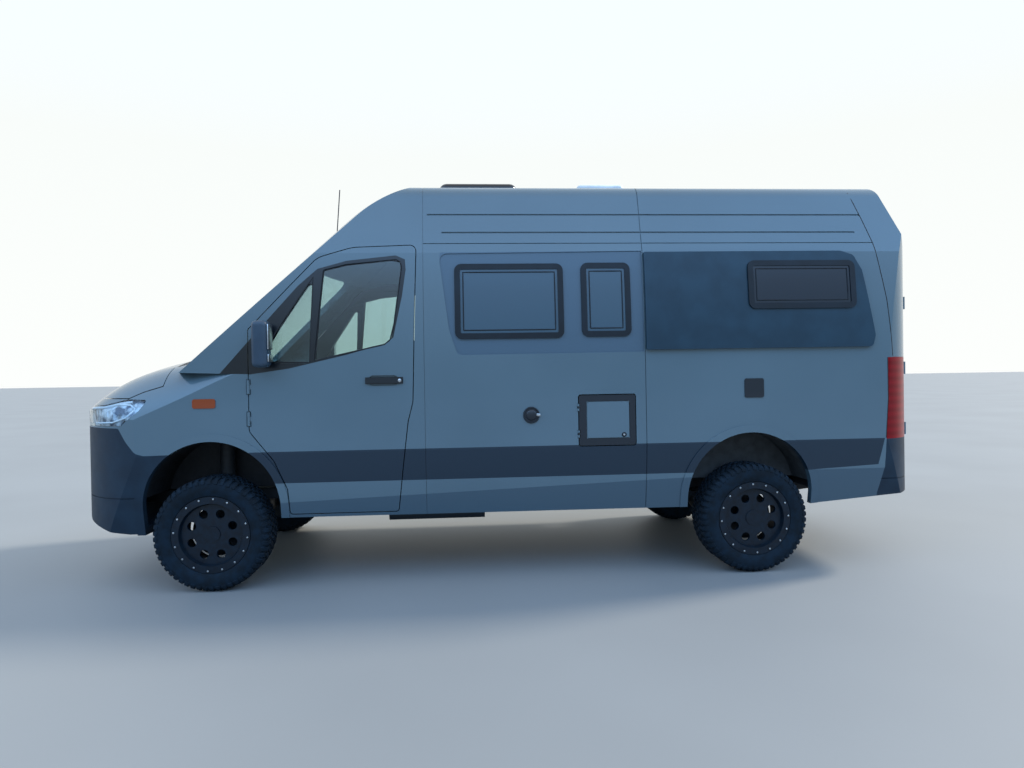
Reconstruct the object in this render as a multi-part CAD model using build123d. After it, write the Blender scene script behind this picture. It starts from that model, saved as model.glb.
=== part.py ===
from build123d import *
import os
from copy import deepcopy
from math import asin, cos, radians, sin, tan

# Camper van on a high-roof panel van with raised all-wheel-drive running gear.
# Millimetres, +Z up, the van drives towards -X and its left side is at -Y.
# The origin is on the ground, under the middle of the whole van.

os.makedirs("parts", exist_ok=True)

# Overall sizes
length = 5932.0
body_half = 1009.0
plan_spare = 7.0
nose_spare = 16.0
roof_z = 2757.0
wheelbase = 3665.0
front_overhang = 1004.0
nose_x = -length / 2
tail_x = length / 2
front_axle_x = nose_x + front_overhang
rear_axle_x = front_axle_x + wheelbase

# Body walls and shut lines
wall = 42.0
shut_gap = 6.0
groove_width = 5.0
groove_depth = 8.0
seat_gap = 0.3
run_gap = 0.05
sill_z = 465.0
floor_z = 640.0
floor_thick = 40.0
cab_seam_x = -554.0
rear_seam_x = 948.0
gutter_z = 2290.0

# Windscreen and forehead
screen_slope = 43.8
screen_foot_x = -2157.0
screen_foot_z = 1598.0
screen_top_z = 2262.0
cone_axis_x = 600.0
forehead_radius = 929.0
cowl_z = 1440.0
door_front_x = -1697.0

# Plan of the two ends
nose_crown = 4220.0
nose_corner = 620.0
tail_crown = 9000.0
tail_corner = 350.0

# Wheels and steering
tyre_radius = 374.0
tyre_width = 268.0
tyre_centre_y = 881.0
rim_radius = 231.0
ring_radius = 252.0
ring_bolt_radius = 236.7
disc_inset = 34.0
wheel_hole_count = 8
wheel_hole_radius = 29.0
wheel_hole_circle = 142.0
spindle_radius = 32.0
kingpin_offset = 88.0
kingpin_radius = 14.0
kingpin_reach = 120.0
brake_radius = 172.0
steer_clear_y = 560.0
axle_z = tyre_radius
arch_radius = 441.0
arch_lift = 172.0

# Hinges
pin_radius = 5.0
knuckle_radius = 10.0
hinge_length = 90.0
bonnet_hinge_x = -2225.0
bonnet_hinge_z = 1556.0
bonnet_hinge_y = 200.0
bonnet_rear_x = -2277.0
cowl_half = 740.0
rear_hinge_x = 2921.0
rear_hinge_heights = (960.0, 1400.0, 1873.0)
locker_hinge_heights = (985.0, 1165.0)

# Towing eye socket in the front bumper
tow_eye_radius = 10.0
tow_eye_from = -2945.0
tow_eye_to = -2850.0
tow_eye_y = 350.0
tow_eye_z = 595.0

# Ladder frame under the floor
rail_inner_y = 430.0
rail_outer_y = 500.0
rail_low_z = 520.0
rail_top_z = 600.0
rail_front_x = -2790.0
rail_rear_x = 2780.0
jack_places = (-1200.0, 850.0)
jack_pad_drop = 20.0

side_plane_z = (0, -1, 0)


def side_prism(face, y_low, y_high):
    """A side-view outline (x, z) carried from y_low to y_high."""
    plane = Plane(origin=(0, y_high, 0), x_dir=(1, 0, 0), z_dir=side_plane_z)
    return extrude(plane * face, y_high - y_low)


def front_prism(face, x_low, x_high):
    """A front-view outline (y, z) carried from x_low to x_high."""
    plane = Plane(origin=(x_low, 0, 0), x_dir=(0, 1, 0), z_dir=(1, 0, 0))
    return extrude(plane * face, x_high - x_low)


def block(x_low, x_high, y_low, y_high, z_low, z_high):
    """A plain box between six planes."""
    size = (x_high - x_low, y_high - y_low, z_high - z_low)
    centre = ((x_low + x_high) / 2, (y_low + y_high) / 2, (z_low + z_high) / 2)
    return Pos(*centre) * Box(*size)


def outline(rows):
    """A closed outline from rows of across, up and corner radius."""
    face = make_face(Polyline(*[(row[0], row[1]) for row in rows], close=True))
    for across, up, radius in rows:
        if radius:
            corner = face.vertices().sort_by_distance((across, up, 0))[0]
            face = fillet(corner, radius).face()
    return face


def resized(face, growth):
    """The same outline, larger by growth all round."""
    return offset(face, amount=growth, kind=Kind.INTERSECTION).face()


def common(shape, tool):
    """What two shapes share, with both left as they were."""
    return deepcopy(shape) & deepcopy(tool)


def cut(shape, *tools):
    """The shape less each tool, with all of them left as they were."""
    result = deepcopy(shape)
    for tool in tools:
        result = result - deepcopy(tool)
    return result


def both_sides(shape):
    """The shape and its mirror image on the other side of the van."""
    return [shape, mirror(shape, Plane.XZ)]


def bowed_end(half, crown, corner, depth):
    """A panel seen on end: a shallow crown, two corner arcs and straight sides."""
    turn = asin((half - corner) / (crown - corner))
    join = (crown * sin(turn), -crown * (1 - cos(turn)))
    end_up = join[1] - corner * cos(turn)
    middle = (radians(90) + turn) / 2
    bulge = (half - corner + corner * sin(middle), end_up + corner * cos(middle))
    return make_face([
        Line((-half, -depth), (-half, end_up)),
        ThreePointArc((-half, end_up), (-bulge[0], bulge[1]), (-join[0], join[1])),
        ThreePointArc((-join[0], join[1]), (0, 0), join),
        ThreePointArc(join, bulge, (half, end_up)),
        Line((half, end_up), (half, -depth)),
        Line((half, -depth), (-half, -depth)),
    ])


# Cross-section of the body, right half: y and z
tuck_foot = (950.0, sill_z)
tuck_middle = (988.0, 690.0)
waist_low = (1009.0, 900.0)
waist_high = (1001.0, 1522.0)
tumble_middle = (984.0, 1900.0)
tumble_top = (949.0, 2225.0)
roof_edge = (815.0, 2710.0)
roof_edge_radius = 110.0


def body_section(inset):
    """The body's cross-section, smaller by inset all round."""
    right = [
        Line((935, 380), tuck_foot),
        ThreePointArc(tuck_foot, tuck_middle, waist_low),
        Line(waist_low, waist_high),
        ThreePointArc(waist_high, tumble_middle, tumble_top),
        Line(tumble_top, roof_edge),
    ]
    left = [mirror(edge, Plane.YZ) for edge in right]
    foot = Line((-935, 380), (935, 380))
    crown = ThreePointArc(roof_edge, (0, roof_z), (-roof_edge[0], roof_edge[1]))
    face = make_face(right + left + [foot, crown])
    for side in (-1, 1):
        corner = face.vertices().sort_by_distance((side * roof_edge[0], roof_edge[1], 0))[0]
        face = fillet(corner, roof_edge_radius).face()
    return resized(face, -inset) if inset else face


def section_bar(inset):
    """The cross-section carried along the whole van."""
    plane = Plane(origin=(nose_x - 500, 0, 0), x_dir=(0, 1, 0), z_dir=(1, 0, 0))
    return extrude(plane * body_section(inset), length + 1000)


def plan_block(inset):
    """The rounded plan of both ends, as one upright block."""
    nose = Plane(origin=(nose_x + inset, 0, 300), x_dir=(0, 1, 0), z_dir=(0, 0, 1))
    tail = Plane(origin=(tail_x - inset, 0, 300), x_dir=(0, -1, 0), z_dir=(0, 0, 1))
    half = body_half + plan_spare - inset
    front = nose * bowed_end(half, nose_crown - inset, nose_corner - inset, length + 600)
    rear = tail * bowed_end(half, tail_crown - inset, tail_corner - inset, length + 600)
    return extrude(front, 2600) & extrude(rear, 2600)


def cabin_block(inset):
    """Roof, windscreen and rear: turned about an upright axis in front, straight behind."""
    rise = tan(radians(screen_slope))
    top_x = screen_foot_x + (roof_z - screen_foot_z) / rise
    low_x = screen_foot_x - (screen_foot_z - cowl_z) / rise
    profile = outline([
        (top_x, roof_z, forehead_radius),
        (2677, roof_z, 160),
        (2893, 2215, 600),
        (2943, 1478, 0),
        (tail_x, 900, 0),
        (tail_x, 380, 0),
        (door_front_x, 380, 0),
        (door_front_x - 100, cowl_z - 20, 0),
        (low_x, cowl_z, 0),
    ])
    if inset:
        profile = resized(profile, -inset)
    ahead = make_face(Polyline((-4000, 0), (cone_axis_x, 0), (cone_axis_x, 4000), (-4000, 4000), close=True))
    behind = make_face(Polyline((cone_axis_x, 0), (4000, 0), (4000, 4000), (cone_axis_x, 4000), close=True))
    plane = Plane(origin=(0, 0, 0), x_dir=(1, 0, 0), z_dir=side_plane_z)
    turned = revolve(plane * (profile & ahead).face(), Axis((cone_axis_x, 0, 0), (0, 0, 1)), 360)
    front = turned & block(-4000, cone_axis_x, -1500, 1500, 0, 4000)
    rear = side_prism((profile & behind).face(), -1500, 1500)
    whole = front + rear
    if inset >= 0:
        whole += block(door_front_x - 5, door_front_x + 300, -1500, 1500, 380, cowl_z - max(inset, 10))
    return whole & section_bar(inset) & plan_block(inset)


# Bonnet and wing sections: x, height at the middle, corner radius
nose_sections = [
    (-2990.0, 1100.0, 500.0),
    (-2842.0, 1295.0, 500.0),
    (-2638.0, 1441.0, 490.0),
    (-2350.0, 1543.0, 440.0),
    (-2060.0, 1603.0, 340.0),
    (-1600.0, 1690.0, 200.0),
]
bonnet_crown = 3500.0

# Front face of the nose, seen from the side: x, z, corner radius
nose_face_rows = [
    (-1600, 1900, 0),
    (-2790, 1900, 0),
    (-2912, 1170, 0),
    (-2940, 859, 0),
    (-2947, 671, 0),
    (nose_x, 627, 0),
    (nose_x, 564, 0),
    (-2925, 509, 0),
    (-2832, 452, 0),
    (-2602, 395, 0),
    (-2500, 380, 0),
    (-1600, 380, 0),
]


def nose_block(inset):
    """Bonnet, wings and bumper: a loft over six sections, cut by the front face."""
    sections = []
    for x, height, corner in nose_sections:
        plane = Plane(origin=(x, 0, height - inset), x_dir=(0, 1, 0), z_dir=(1, 0, 0))
        half = body_half + nose_spare - inset
        depth = height - inset - 300
        sections.append(plane * bowed_end(half, bonnet_crown - inset, corner - inset, depth))
    face = outline(nose_face_rows)
    if inset:
        face = resized(face, -inset)
    front = side_prism(face, -1500, 1500) & section_bar(inset) & plan_block(inset)
    return front & loft(sections)


def skin(inset):
    """The whole body's outer form, smaller by inset."""
    return cabin_block(inset) + nose_block(inset)


outer = skin(0)
inner = skin(wall)

# Bottom edge of the body from the side: x, z, corner radius
belly = outline([
    (-3100, 300, 0),
    (-3100, 4000, 0),
    (3100, 4000, 0),
    (3100, 540, 0),
    (2118, sill_z - 8, 0),
    (-1519, sill_z, 0),
    (-1519, 300, 0),
])
shell = common(cut(outer, inner), side_prism(belly, -1500, 1500))

# Wheel arches, both sides at once
front_arch_z = axle_z + arch_lift
rear_arch_z = front_arch_z - 16
arch_places = [(front_axle_x + 5, front_arch_z), (rear_axle_x - 20, rear_arch_z)]


def arch_cut(x, z, radius, y_low, y_high):
    """The wheel's opening: a round top and straight sides down to the ground."""
    face = make_face([
        ThreePointArc((x - radius, z), (x, z + radius), (x + radius, z)),
        Line((x + radius, z), (x + radius, 0)),
        Line((x + radius, 0), (x - radius, 0)),
        Line((x - radius, 0), (x - radius, z)),
    ])
    return side_prism(face, y_low, y_high)


for arch_x, arch_z in arch_places:
    shell = cut(shell, arch_cut(arch_x, arch_z, arch_radius, -1200, 1200))


def zone(x_low, x_high, y_low=-1500, y_high=1500, z_low=0, z_high=4000):
    """A box around one region of the body."""
    return block(x_low, x_high, y_low, y_high, z_low, z_high)


cab_shell = common(shell, zone(-3200, cab_seam_x))
living_shell = common(shell, zone(cab_seam_x, 2800))
tail_shell = common(shell, zone(2380, 3200))

# Side-view outlines, left side: x, z, corner radius
door_rows = [
    (-1455, 490, 20),
    (-1463, 658, 0),
    (-1543, 853, 120),
    (door_front_x, 1049, 60),
    (door_front_x, 1716, 20),
    (-1250, 2192, 160),
    (-1020, 2262, 300),
    (-600, 2278, 40),
    (-619, 1700, 0),
    (-634, 1225, 200),
    (-668, 1095, 200),
    (-743, 490, 20),
]
quarter_glass_rows = [
    (-1636, 1498, 20),
    (-1499, 1728, 0),
    (-1273, 2070, 20),
    (-1303, 1488, 20),
]
main_glass_rows = [
    (-1213, 2112, 20),
    (-1060, 2150, 60),
    (-700, 2185, 45),
    (-692, 2120, 0),
    (-745, 1745, 0),
    (-772, 1622, 60),
    (-1275, 1505, 15),
]
wing_top_rows = [
    (door_front_x, 1421),
    (-1886, 1427),
    (-2061, 1482),
    (-2090, 1437),
    (-2150, 1391),
    (-2234, 1362),
    (-2401, 1314),
    (-2496, 1273),
]
lamp_rows = [
    (-3100, 1225, 0),
    (-2671, 1234, 0),
    (-2503, 1271, 0),
    (-2359, 1266, 12),
    (-2406, 1195, 0),
    (-2523, 1098, 12),
    (-3100, 1092, 0),
]
bumper_rows = [
    (-3100, 1092, 0),
    (-2543, 1083, 20),
    (-2493, 998, 0),
    (-2430, 920, 60),
    (-2373, 903, 0),
    (-2100, 906, 0),
    (-2100, 300, 0),
    (-3100, 300, 0),
]
window_zone_rows = [
    (-441, 2218, 50),
    (-441, 2158, 0),
    (-384, 1703, 0),
    (-330, 1533, 60),
    (rear_seam_x - 8, 1540, 0),
    (rear_seam_x - 8, 2234, 0),
]
# Living-area windows, left side: x from, x to, z from, z to
left_windows = [
    (-344, 393, 1638, 2147),
    (515, 855, 1644, 2151),
]
# Right side: one wide window in the sliding door
right_windows = [
    (-330, 560, 1640, 2150),
]
rear_side_window = (1672, 2438, 1822, 2157)
window_corner = 48.0
window_frame_width = 38.0
window_stand = 12.0
flare_stand = 26.0
flare_rows = [
    (rear_seam_x + 4, 2222, 10),
    (2350, 2226, 60),
    (2440, 2196, 40),
    (2497, 2086, 60),
    (2572, 1632, 0),
    (2552, 1552, 30),
    (rear_seam_x + 4, 1550, 10),
]
rear_pillar_rows = [
    (2378, 3000),
    (2502, 2645),
    (2613, 2288),
    (2679, 1883),
    (2713, 1476),
    (2673, 1476),
    (2672, 1184),
    (2652, 906),
    (3100, 906),
    (3100, 3000),
]
living_rows = [
    (-700, 300),
    (-700, 3000),
    (2378, 3000),
    (2502, 2645),
    (2613, 2288),
    (2679, 1883),
    (2713, 1476),
    (2673, 1476),
    (2672, 1184),
    (2652, 906),
    (2650, 708),
    (2607, 521),
    (2607, 300),
]
rear_bumper_rows = [
    (2652, 906, 0),
    (3100, 906, 0),
    (3100, 400, 0),
    (2607, 400, 0),
    (2607, 521, 0),
    (2650, 708, 0),
]
rear_lamp_rows = [
    (2640, 1478, 0),
    (3100, 1478, 0),
    (3100, 900, 0),
    (2640, 900, 0),
]
rear_lamp_inner_y = 830.0
rear_door_low_z = 700.0
rear_door_top_z = 2478.0
rear_door_half = 800.0
locker_box = (484, 872, 905, 1247)
rear_glass_margin = 95.0
rear_glass_low_z = 1560.0
rear_glass_top_z = 2230.0
grille_half = 500.0
grille_low_z = 890.0
grille_top_z = 1212.0
slat_pitch = 46.0
slat_thick = 14.0
grille_slot_half = 455.0
intake_slots = [(655, 700), (716, 761), (777, 822)]
step_line_z = 627.0
step_line_width = 7.0
# Fittings on the side: x from, x to, z from, z to, corner radius
tank_cap_box = (1638, 1774, 1211, 1343, 14)
indicator_box = (-2059, -1912, 1205, 1266, 14)
inlet_place = (160.0, 1120.0)
inlet_radius = 56.0
handle_box = (-940, -698, 1350, 1387)
handle_pocket = (-922, -724, 1334, 1403)
arch_lip = 52.0
arch_lip_stand = 7.0
roof_groove_places = [(-426, 2492, 2361, 2374), (-706, 2588, 2490, 2504)]
roof_rib_places = [380.0, 520.0, 660.0]
rail_groove = (rear_seam_x + 18, 2480, 1484, 1510)
locker_panel = (537, 830, 954, 1203)
plate_recess = (-560, -90, 1060, 1200)
# Windscreen outline from the front: y, z, corner radius
screen_rows = [
    (-835, 1520, 60),
    (-715, screen_top_z, 90),
    (715, screen_top_z, 90),
    (835, 1520, 60),
]

def sided(rows, growth, side, reach=(500, 1500)):
    """A side-view outline cut as a prism on one side: side is -1 left, 1 right."""
    face = outline(rows)
    if growth:
        face = resized(face, growth)
    low, high = sorted((side * reach[0], side * reach[1]))
    return side_prism(face, low, high)


def rows_of(box, corner):
    """Outline rows for a rectangle with equal corners: x from, x to, z from, z to."""
    x_low, x_high, z_low, z_high = box
    return [(x_low, z_low, corner), (x_low, z_high, corner), (x_high, z_high, corner), (x_high, z_low, corner)]


bars = {}


def layer(outside, inside):
    """The body side between two depths under the paint; negative depths stand proud."""
    for inset in (outside, inside):
        if inset not in bars:
            bars[inset] = section_bar(inset)
    return cut(bars[outside], bars[inside])


nodes = {}


def keep(name, pieces):
    """Files the solids of one node under its name."""
    solids = []
    for piece in pieces if isinstance(pieces, list) else [pieces]:
        solids += list(piece.solids())
    nodes[name] = solids


def hinge(origin, direction, fixed_dir, moving_dir, fixed_leaf, moving_leaf, span=hinge_length, scale=1.0):
    """A butt hinge: a pin with two outer knuckles and a leaf, and one middle knuckle with a leaf."""
    plane = Plane(origin=origin, x_dir=fixed_dir, z_dir=direction)
    third = span / 3
    pin, barrel, leaf = pin_radius * scale, knuckle_radius * scale, 6 * scale
    fixed = Cylinder(pin, span)
    for end in (-1, 1):
        fixed += Pos(0, 0, end * third) * Cylinder(barrel, third)
        fixed += Pos(fixed_leaf / 2, 0, end * third) * Box(fixed_leaf, leaf, third)
    middle = third - 2 * seat_gap
    other = Plane(origin=origin, x_dir=moving_dir, z_dir=direction)
    moving = Cylinder(barrel, middle) + Pos(moving_leaf / 2, 0, 0) * Box(moving_leaf, leaf, middle)
    moving -= Cylinder(pin + run_gap, span)
    return plane * fixed, other * moving


# Cab doors with their glass, one per side, hinged at the front edge
sides = {"left": -1, "right": 1}
door_hinge_x = door_front_x - shut_gap / 2
door_hinge_y = body_half - 2
door_hinge_heights = (1130.0, 1340.0)
hinge_clear = knuckle_radius + 5
hinge_slot = hinge_length + 10
cab_glass_layer = layer(6, 11)
cab_frame = cab_shell
door_handle_pocket = layer(-5, 16)
door_handle_stand = layer(-17, -6)
door_handle_foot = layer(-17, 4)
doors = {}
hinge_fixed = []
for name, side in sides.items():
    panes = [common(cab_glass_layer, sided(rows, -seat_gap, side)) for rows in (quarter_glass_rows, main_glass_rows)]
    keep("cab_glass_" + name, panes)
    door = common(cab_shell, sided(door_rows, 0, side))
    door = cut(door, sided(quarter_glass_rows, 0, side), sided(main_glass_rows, 0, side))
    cab_frame = cut(cab_frame, sided(door_rows, shut_gap, side))
    door = cut(door, common(door_handle_pocket, sided(rows_of(handle_pocket, 32), 0, side)))
    door += common(door_handle_stand, sided(rows_of(handle_box, 12), 0, side))
    for x_low, x_high in ((handle_box[0] + 1, handle_pocket[0] + 6), (handle_pocket[1] - 6, handle_box[1] - 1)):
        door += common(door_handle_foot, sided(rows_of((x_low, x_high, handle_box[2] + 1, handle_box[3] - 1), 0), 0, side))
    for height in door_hinge_heights:
        place = (door_hinge_x, side * door_hinge_y, height)
        clear = Pos(*place) * Cylinder(hinge_clear, hinge_slot)
        fixed, moving = hinge(place, (0, 0, 1), (-0.5, -side, 0), (1, -side * 0.3, 0), 32, 34)
        door = cut(door, clear) + moving
        cab_frame = cut(cab_frame, clear)
        hinge_fixed.append((clear, fixed))
    doors[name] = door

# The nose is parted from the cab along the wing's top line
wing_face = make_face(Polyline(*wing_top_rows, (-3100, 1273), (-3100, 0), (door_front_x, 0), close=True))
nose_shell = common(cab_frame, zone(-3200, door_front_x - shut_gap))
cabin_grown = cabin_block(-45)
cabin_outer = cabin_block(0)
below_line = side_prism(wing_face, -1500, 1500)
bumper_cut = side_prism(outline(bumper_rows), -1500, 1500)
lamp_cut = side_prism(outline(lamp_rows), -1500, 1500)
grille_box = block(-3100, -2700, -grille_half, grille_half, grille_low_z, grille_top_z)
lamp_zone = cut(lamp_cut, block(-3100, -2000, -grille_half, grille_half, 0, 2000))

over_line = cut(nose_shell, below_line)
under_line = common(nose_shell, below_line)
cowl_side = Pos(-8, 0, 0) * cabin_grown
cowl_zone = zone(-3200, 0, -cowl_half, cowl_half)
cowl_clear = common(cowl_side, zone(-3200, 0, -cowl_half - shut_gap, cowl_half + shut_gap))
corner_zone = zone(bonnet_rear_x + shut_gap, door_front_x)
bonnet = cut(over_line, cowl_clear, side_prism(resized(wing_face, shut_gap), -1500, 1500))
for y_low, y_high in ((-1500, -cowl_half), (cowl_half, 1500)):
    bonnet = cut(bonnet, zone(bonnet_rear_x, door_front_x, y_low, y_high))
under_line += cut(common(over_line, corner_zone), cowl_zone, cabin_outer)
cowl = common(cut(common(over_line, cabin_grown), cabin_outer), cowl_zone)
for side in (-1, 1):
    place = (bonnet_hinge_x, side * bonnet_hinge_y, bonnet_hinge_z)
    reach = hinge_slot / 2
    clear = Pos(*place) * (Pos(0, 0, 7) * Box(32, 2 * reach, 46))
    slot = Pos(*place) * (Pos(-40, 0, 7) * Box(80, 42, 46))
    fixed, moving = hinge(place, (0, 1, 0), (0.05, 0, -1), (-1, 0, -0.12), 34, 90)
    bonnet = cut(bonnet, clear) + moving
    cowl = cut(cowl, clear, slot) + fixed
pillar_front = common(over_line, cabin_outer)
wings = cut(under_line, bumper_cut, lamp_zone, grille_box)
bumper = cut(common(under_line, bumper_cut), grille_box)
within_step = common(section_bar(6), plan_block(6))
step_groove = cut(block(-3200, -2280, -1500, 1500, step_line_z - step_line_width, step_line_z), within_step)
bumper = cut(bumper, step_groove)
for z_low, z_high in intake_slots:
    bumper -= block(-3200, -2800, -430, 430, z_low, z_high)
eye_at = Pos(tow_eye_from, tow_eye_y, tow_eye_z) * Rot(0, 90, 0)
bumper += Pos((tow_eye_from + tow_eye_to) / 2 + 4, tow_eye_y, tow_eye_z) * Rot(0, 90, 0) * Cylinder(
    tow_eye_radius + 9, tow_eye_to - tow_eye_from - 8)
bumper -= eye_at * Cylinder(tow_eye_radius, 400)
bumper -= eye_at * Pos(0, 0, -50) * Cylinder(tow_eye_radius + 14, 100)
grille = common(nose_shell, grille_box)
slat_z = grille_low_z + 24
while slat_z + slat_pitch < grille_top_z:
    for y_low, y_high in ((-grille_slot_half, -8), (8, grille_slot_half)):
        grille -= block(-3200, -2700, y_low, y_high, slat_z, slat_z + slat_pitch - slat_thick)
    slat_z += slat_pitch
headlamps = common(nose_shell, lamp_zone)
cab_body = cut(common(cab_frame, zone(door_front_x - shut_gap, cab_seam_x)))

screen_face = outline(screen_rows)
screen_hole = front_prism(screen_face, -2600, -1000)
screen_reach = zone(-3000, -1000, -1500, 1500, 1500, 2600)
screen_pane = common(cut(cabin_block(5), cabin_block(11)), screen_reach)
windscreen = common(screen_pane, front_prism(resized(screen_face, -seat_gap), -2600, -1000))
cab_body = cut(cab_body, screen_hole)
pillar_front = cut(pillar_front, screen_hole)
cowl = cut(cowl, screen_hole)

pillar_front = cut(pillar_front, cowl)

# Raised lips round the wheel arches
lip_layer = layer(-arch_lip_stand, 4)


def arch_ring(x, z, side):
    """The band of body side just outside one wheel arch."""
    low, high = sorted((side * 800, side * 1500))
    ring = cut(arch_cut(x, z, arch_radius + arch_lip, low, high), arch_cut(x, z, arch_radius, low - 1, high + 1))
    return common(common(lip_layer, ring), side_prism(belly, -1500, 1500))


front_lips = [arch_ring(*arch_places[0], side) for side in (-1, 1)]
door_clear = side_prism(resized(outline(door_rows), shut_gap), -1500, 1500)
for lip in front_lips:
    front_lip = common(lip, zone(-3200, door_front_x - shut_gap))
    wings += cut(front_lip, side_prism(resized(outline(bumper_rows), 1), -1500, 1500))
    bumper += common(front_lip, side_prism(resized(outline(bumper_rows), -1), -1500, 1500))
    cab_body += common(cut(lip, door_clear), zone(door_front_x - shut_gap, door_front_x + 300))
for clear, fixed in hinge_fixed:
    wings = cut(wings, clear) + fixed
keep("cab_frame", [cab_body + pillar_front])
keep("bonnet", bonnet)
keep("cowl", cowl)
keep("front_wings", wings)
keep("front_bumper", bumper)
keep("grille", grille)
keep("headlamps", headlamps)
keep("windscreen", windscreen)
for name, door in doors.items():
    keep("cab_door_" + name, door)

# Living-area walls, parted from the roof along the gutter
groove = groove_width / 2
paint = layer(-5, groove_depth)
seams = [
    common(paint, zone(cab_seam_x - groove, cab_seam_x + groove)),
    common(paint, zone(rear_seam_x - groove, rear_seam_x + groove)),
    common(paint, zone(cab_seam_x, 2950, -1500, 1500, gutter_z - groove, gutter_z + groove)),
]
living = common(living_shell, side_prism(make_face(Polyline(*living_rows, close=True)), -1500, 1500))
high_roof = cut(common(living, zone(-3200, 3200, -1500, 1500, gutter_z, 4000)), *seams)
shallow = layer(-5, 5)
for x_low, x_high, z_low, z_high in roof_groove_places:
    high_roof = cut(high_roof, common(shallow, zone(max(x_low, cab_seam_x + 30), x_high, -1500, 1500, z_low, z_high)))
for rib_y in roof_rib_places:
    for y_low, y_high in ((-rib_y - 12, -rib_y + 12), (rib_y - 12, rib_y + 12)):
        high_roof = cut(high_roof, common(shallow, zone(cab_seam_x + 60, 2420, y_low, y_high, 2650, 2900)))
panels = {}
for name, side in sides.items():
    low, high = sorted((0, side * 1500))
    wall_side = common(living, zone(-3200, 3200, low, high, 0, gutter_z))
    panels["middle_" + name] = common(wall_side, zone(cab_seam_x, rear_seam_x))
    panels["quarter_" + name] = common(wall_side, zone(rear_seam_x, 3200))

panels["middle_left"] = cut(panels["middle_left"], common(layer(-5, 6), sided(window_zone_rows, 0, -1)))
sliding_rows = [
    (cab_seam_x + shut_gap, sill_z + 45, 20),
    (cab_seam_x + shut_gap, gutter_z - 14, 30),
    (rear_seam_x - 90, gutter_z - 14, 30),
    (rear_seam_x - 90, sill_z + 45, 20),
]
sliding_door = common(panels["middle_right"], sided(sliding_rows, 0, 1))
panels["middle_right"] = cut(panels["middle_right"], sided(sliding_rows, shut_gap, 1))

locker_face = outline(rows_of(locker_box, 14))
locker_door = common(panels["middle_left"], side_prism(locker_face, -1500, -500))
panels["middle_left"] = cut(panels["middle_left"], side_prism(resized(locker_face, shut_gap), -1500, -500))
locker_inner = outline(rows_of(locker_panel, 20))
locker_ring = cut(
    side_prism(resized(locker_inner, 3), -1500, -500), side_prism(resized(locker_inner, -3), -1500, -500))
locker_door = cut(locker_door, common(layer(-5, 5), locker_ring))
locker_hinge_x = locker_box[0] - shut_gap / 2
for height in locker_hinge_heights:
    place = (locker_hinge_x, -body_half, height)
    clear = Pos(*place) * Cylinder(knuckle_radius, 54)
    fixed, moving = hinge(place, (0, 0, 1), (-1, 0.4, 0), (1, 0.3, 0), 26, 26, 48, 0.6)
    locker_door = cut(locker_door, clear) + moving
    panels["middle_left"] = cut(panels["middle_left"], clear) + fixed

frames = []
panes = []
flares = []
window_places = [(-1, box, -6.0) for box in left_windows] + [(1, box, 0.0) for box in right_windows]
window_places += [(-1, rear_side_window, flare_stand), (1, rear_side_window, flare_stand)]
for side, box, base in window_places:
    rows = rows_of(box, window_corner)
    hole = sided(rows, 8 - window_frame_width, side)
    if base > 0:
        flare = common(layer(-base, 0), sided(flare_rows, 0, side))
        flares.append(cut(flare, hole))
    for name in panels:
        panels[name] = cut(panels[name], hole) if box[0] < rear_seam_x or "quarter" in name else panels[name]
    if side > 0 and not base:
        sliding_door = cut(sliding_door, hole)
    ring = common(layer(-base - window_stand, -base), sided(rows, 0, side))
    frames.append(cut(ring, sided(rows, -window_frame_width, side)))
    panes.append(common(layer(-base - 6, -base - 0.5), sided(rows, -window_frame_width - seat_gap, side)))

rear_lips = {side: common(arch_ring(*arch_places[1], side), zone(rear_seam_x + 4, 3200)) for side in (-1, 1)}
panels["quarter_left"] += rear_lips[-1]
panels["quarter_right"] += rear_lips[1]
panels["quarter_right"] = cut(
    panels["quarter_right"], common(layer(-5, 16), zone(*rail_groove[:2], 500, 1500, *rail_groove[2:])))
fitting_layer = layer(-6, -seat_gap)
cap_rows = rows_of(tank_cap_box[:4], tank_cap_box[4])
lamp_side_rows = rows_of(indicator_box[:4], indicator_box[4])
inlet = Pos(inlet_place[0], -1000, inlet_place[1]) * Rot(90, 0, 0) * Cylinder(inlet_radius, 300)
fittings = [common(fitting_layer, sided(cap_rows, 0, -1)), common(fitting_layer, inlet)]
fittings += [common(fitting_layer, sided(lamp_side_rows, 0, side)) for side in (-1, 1)]
keep("side_fittings", fittings)
keep("high_roof", high_roof)
keep("side_panels", [cut(panel, *seams) for panel in panels.values()])
keep("sliding_door", sliding_door)
keep("window_flares", flares)
keep("window_frames", frames)
keep("window_panes", panes)
keep("service_door", locker_door)

# Rear end: pillars and header, lamps, bumper and two doors
tail_cut = side_prism(make_face(Polyline(*rear_pillar_rows, close=True)), -1500, 1500)
tail_bumper_cut = side_prism(outline(rear_bumper_rows), -1500, 1500)
lamp_face = outline(rear_lamp_rows)
lamp_sides = [side_prism(lamp_face, -1500, -rear_lamp_inner_y), side_prism(lamp_face, rear_lamp_inner_y, 1500)]
rear_shell = common(tail_shell, tail_cut)
rear_lamps = [common(rear_shell, lamp_side) for lamp_side in lamp_sides]
rear_frame = cut(rear_shell, *lamp_sides)
rear_bumper = common(tail_shell, tail_bumper_cut)
door_shell = common(tail_shell, zone(2500, 3200, -1500, 1500, 600, 2600))
tail_deep = cabin_block(10)
tail_glass = common(cut(cabin_block(5), tail_deep), zone(2500, 3200))
rear_step = cut(block(2500, 3200, -1500, 1500, step_line_z - 7, step_line_z), within_step)
rear_bumper = cut(rear_bumper, rear_step)
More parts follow.
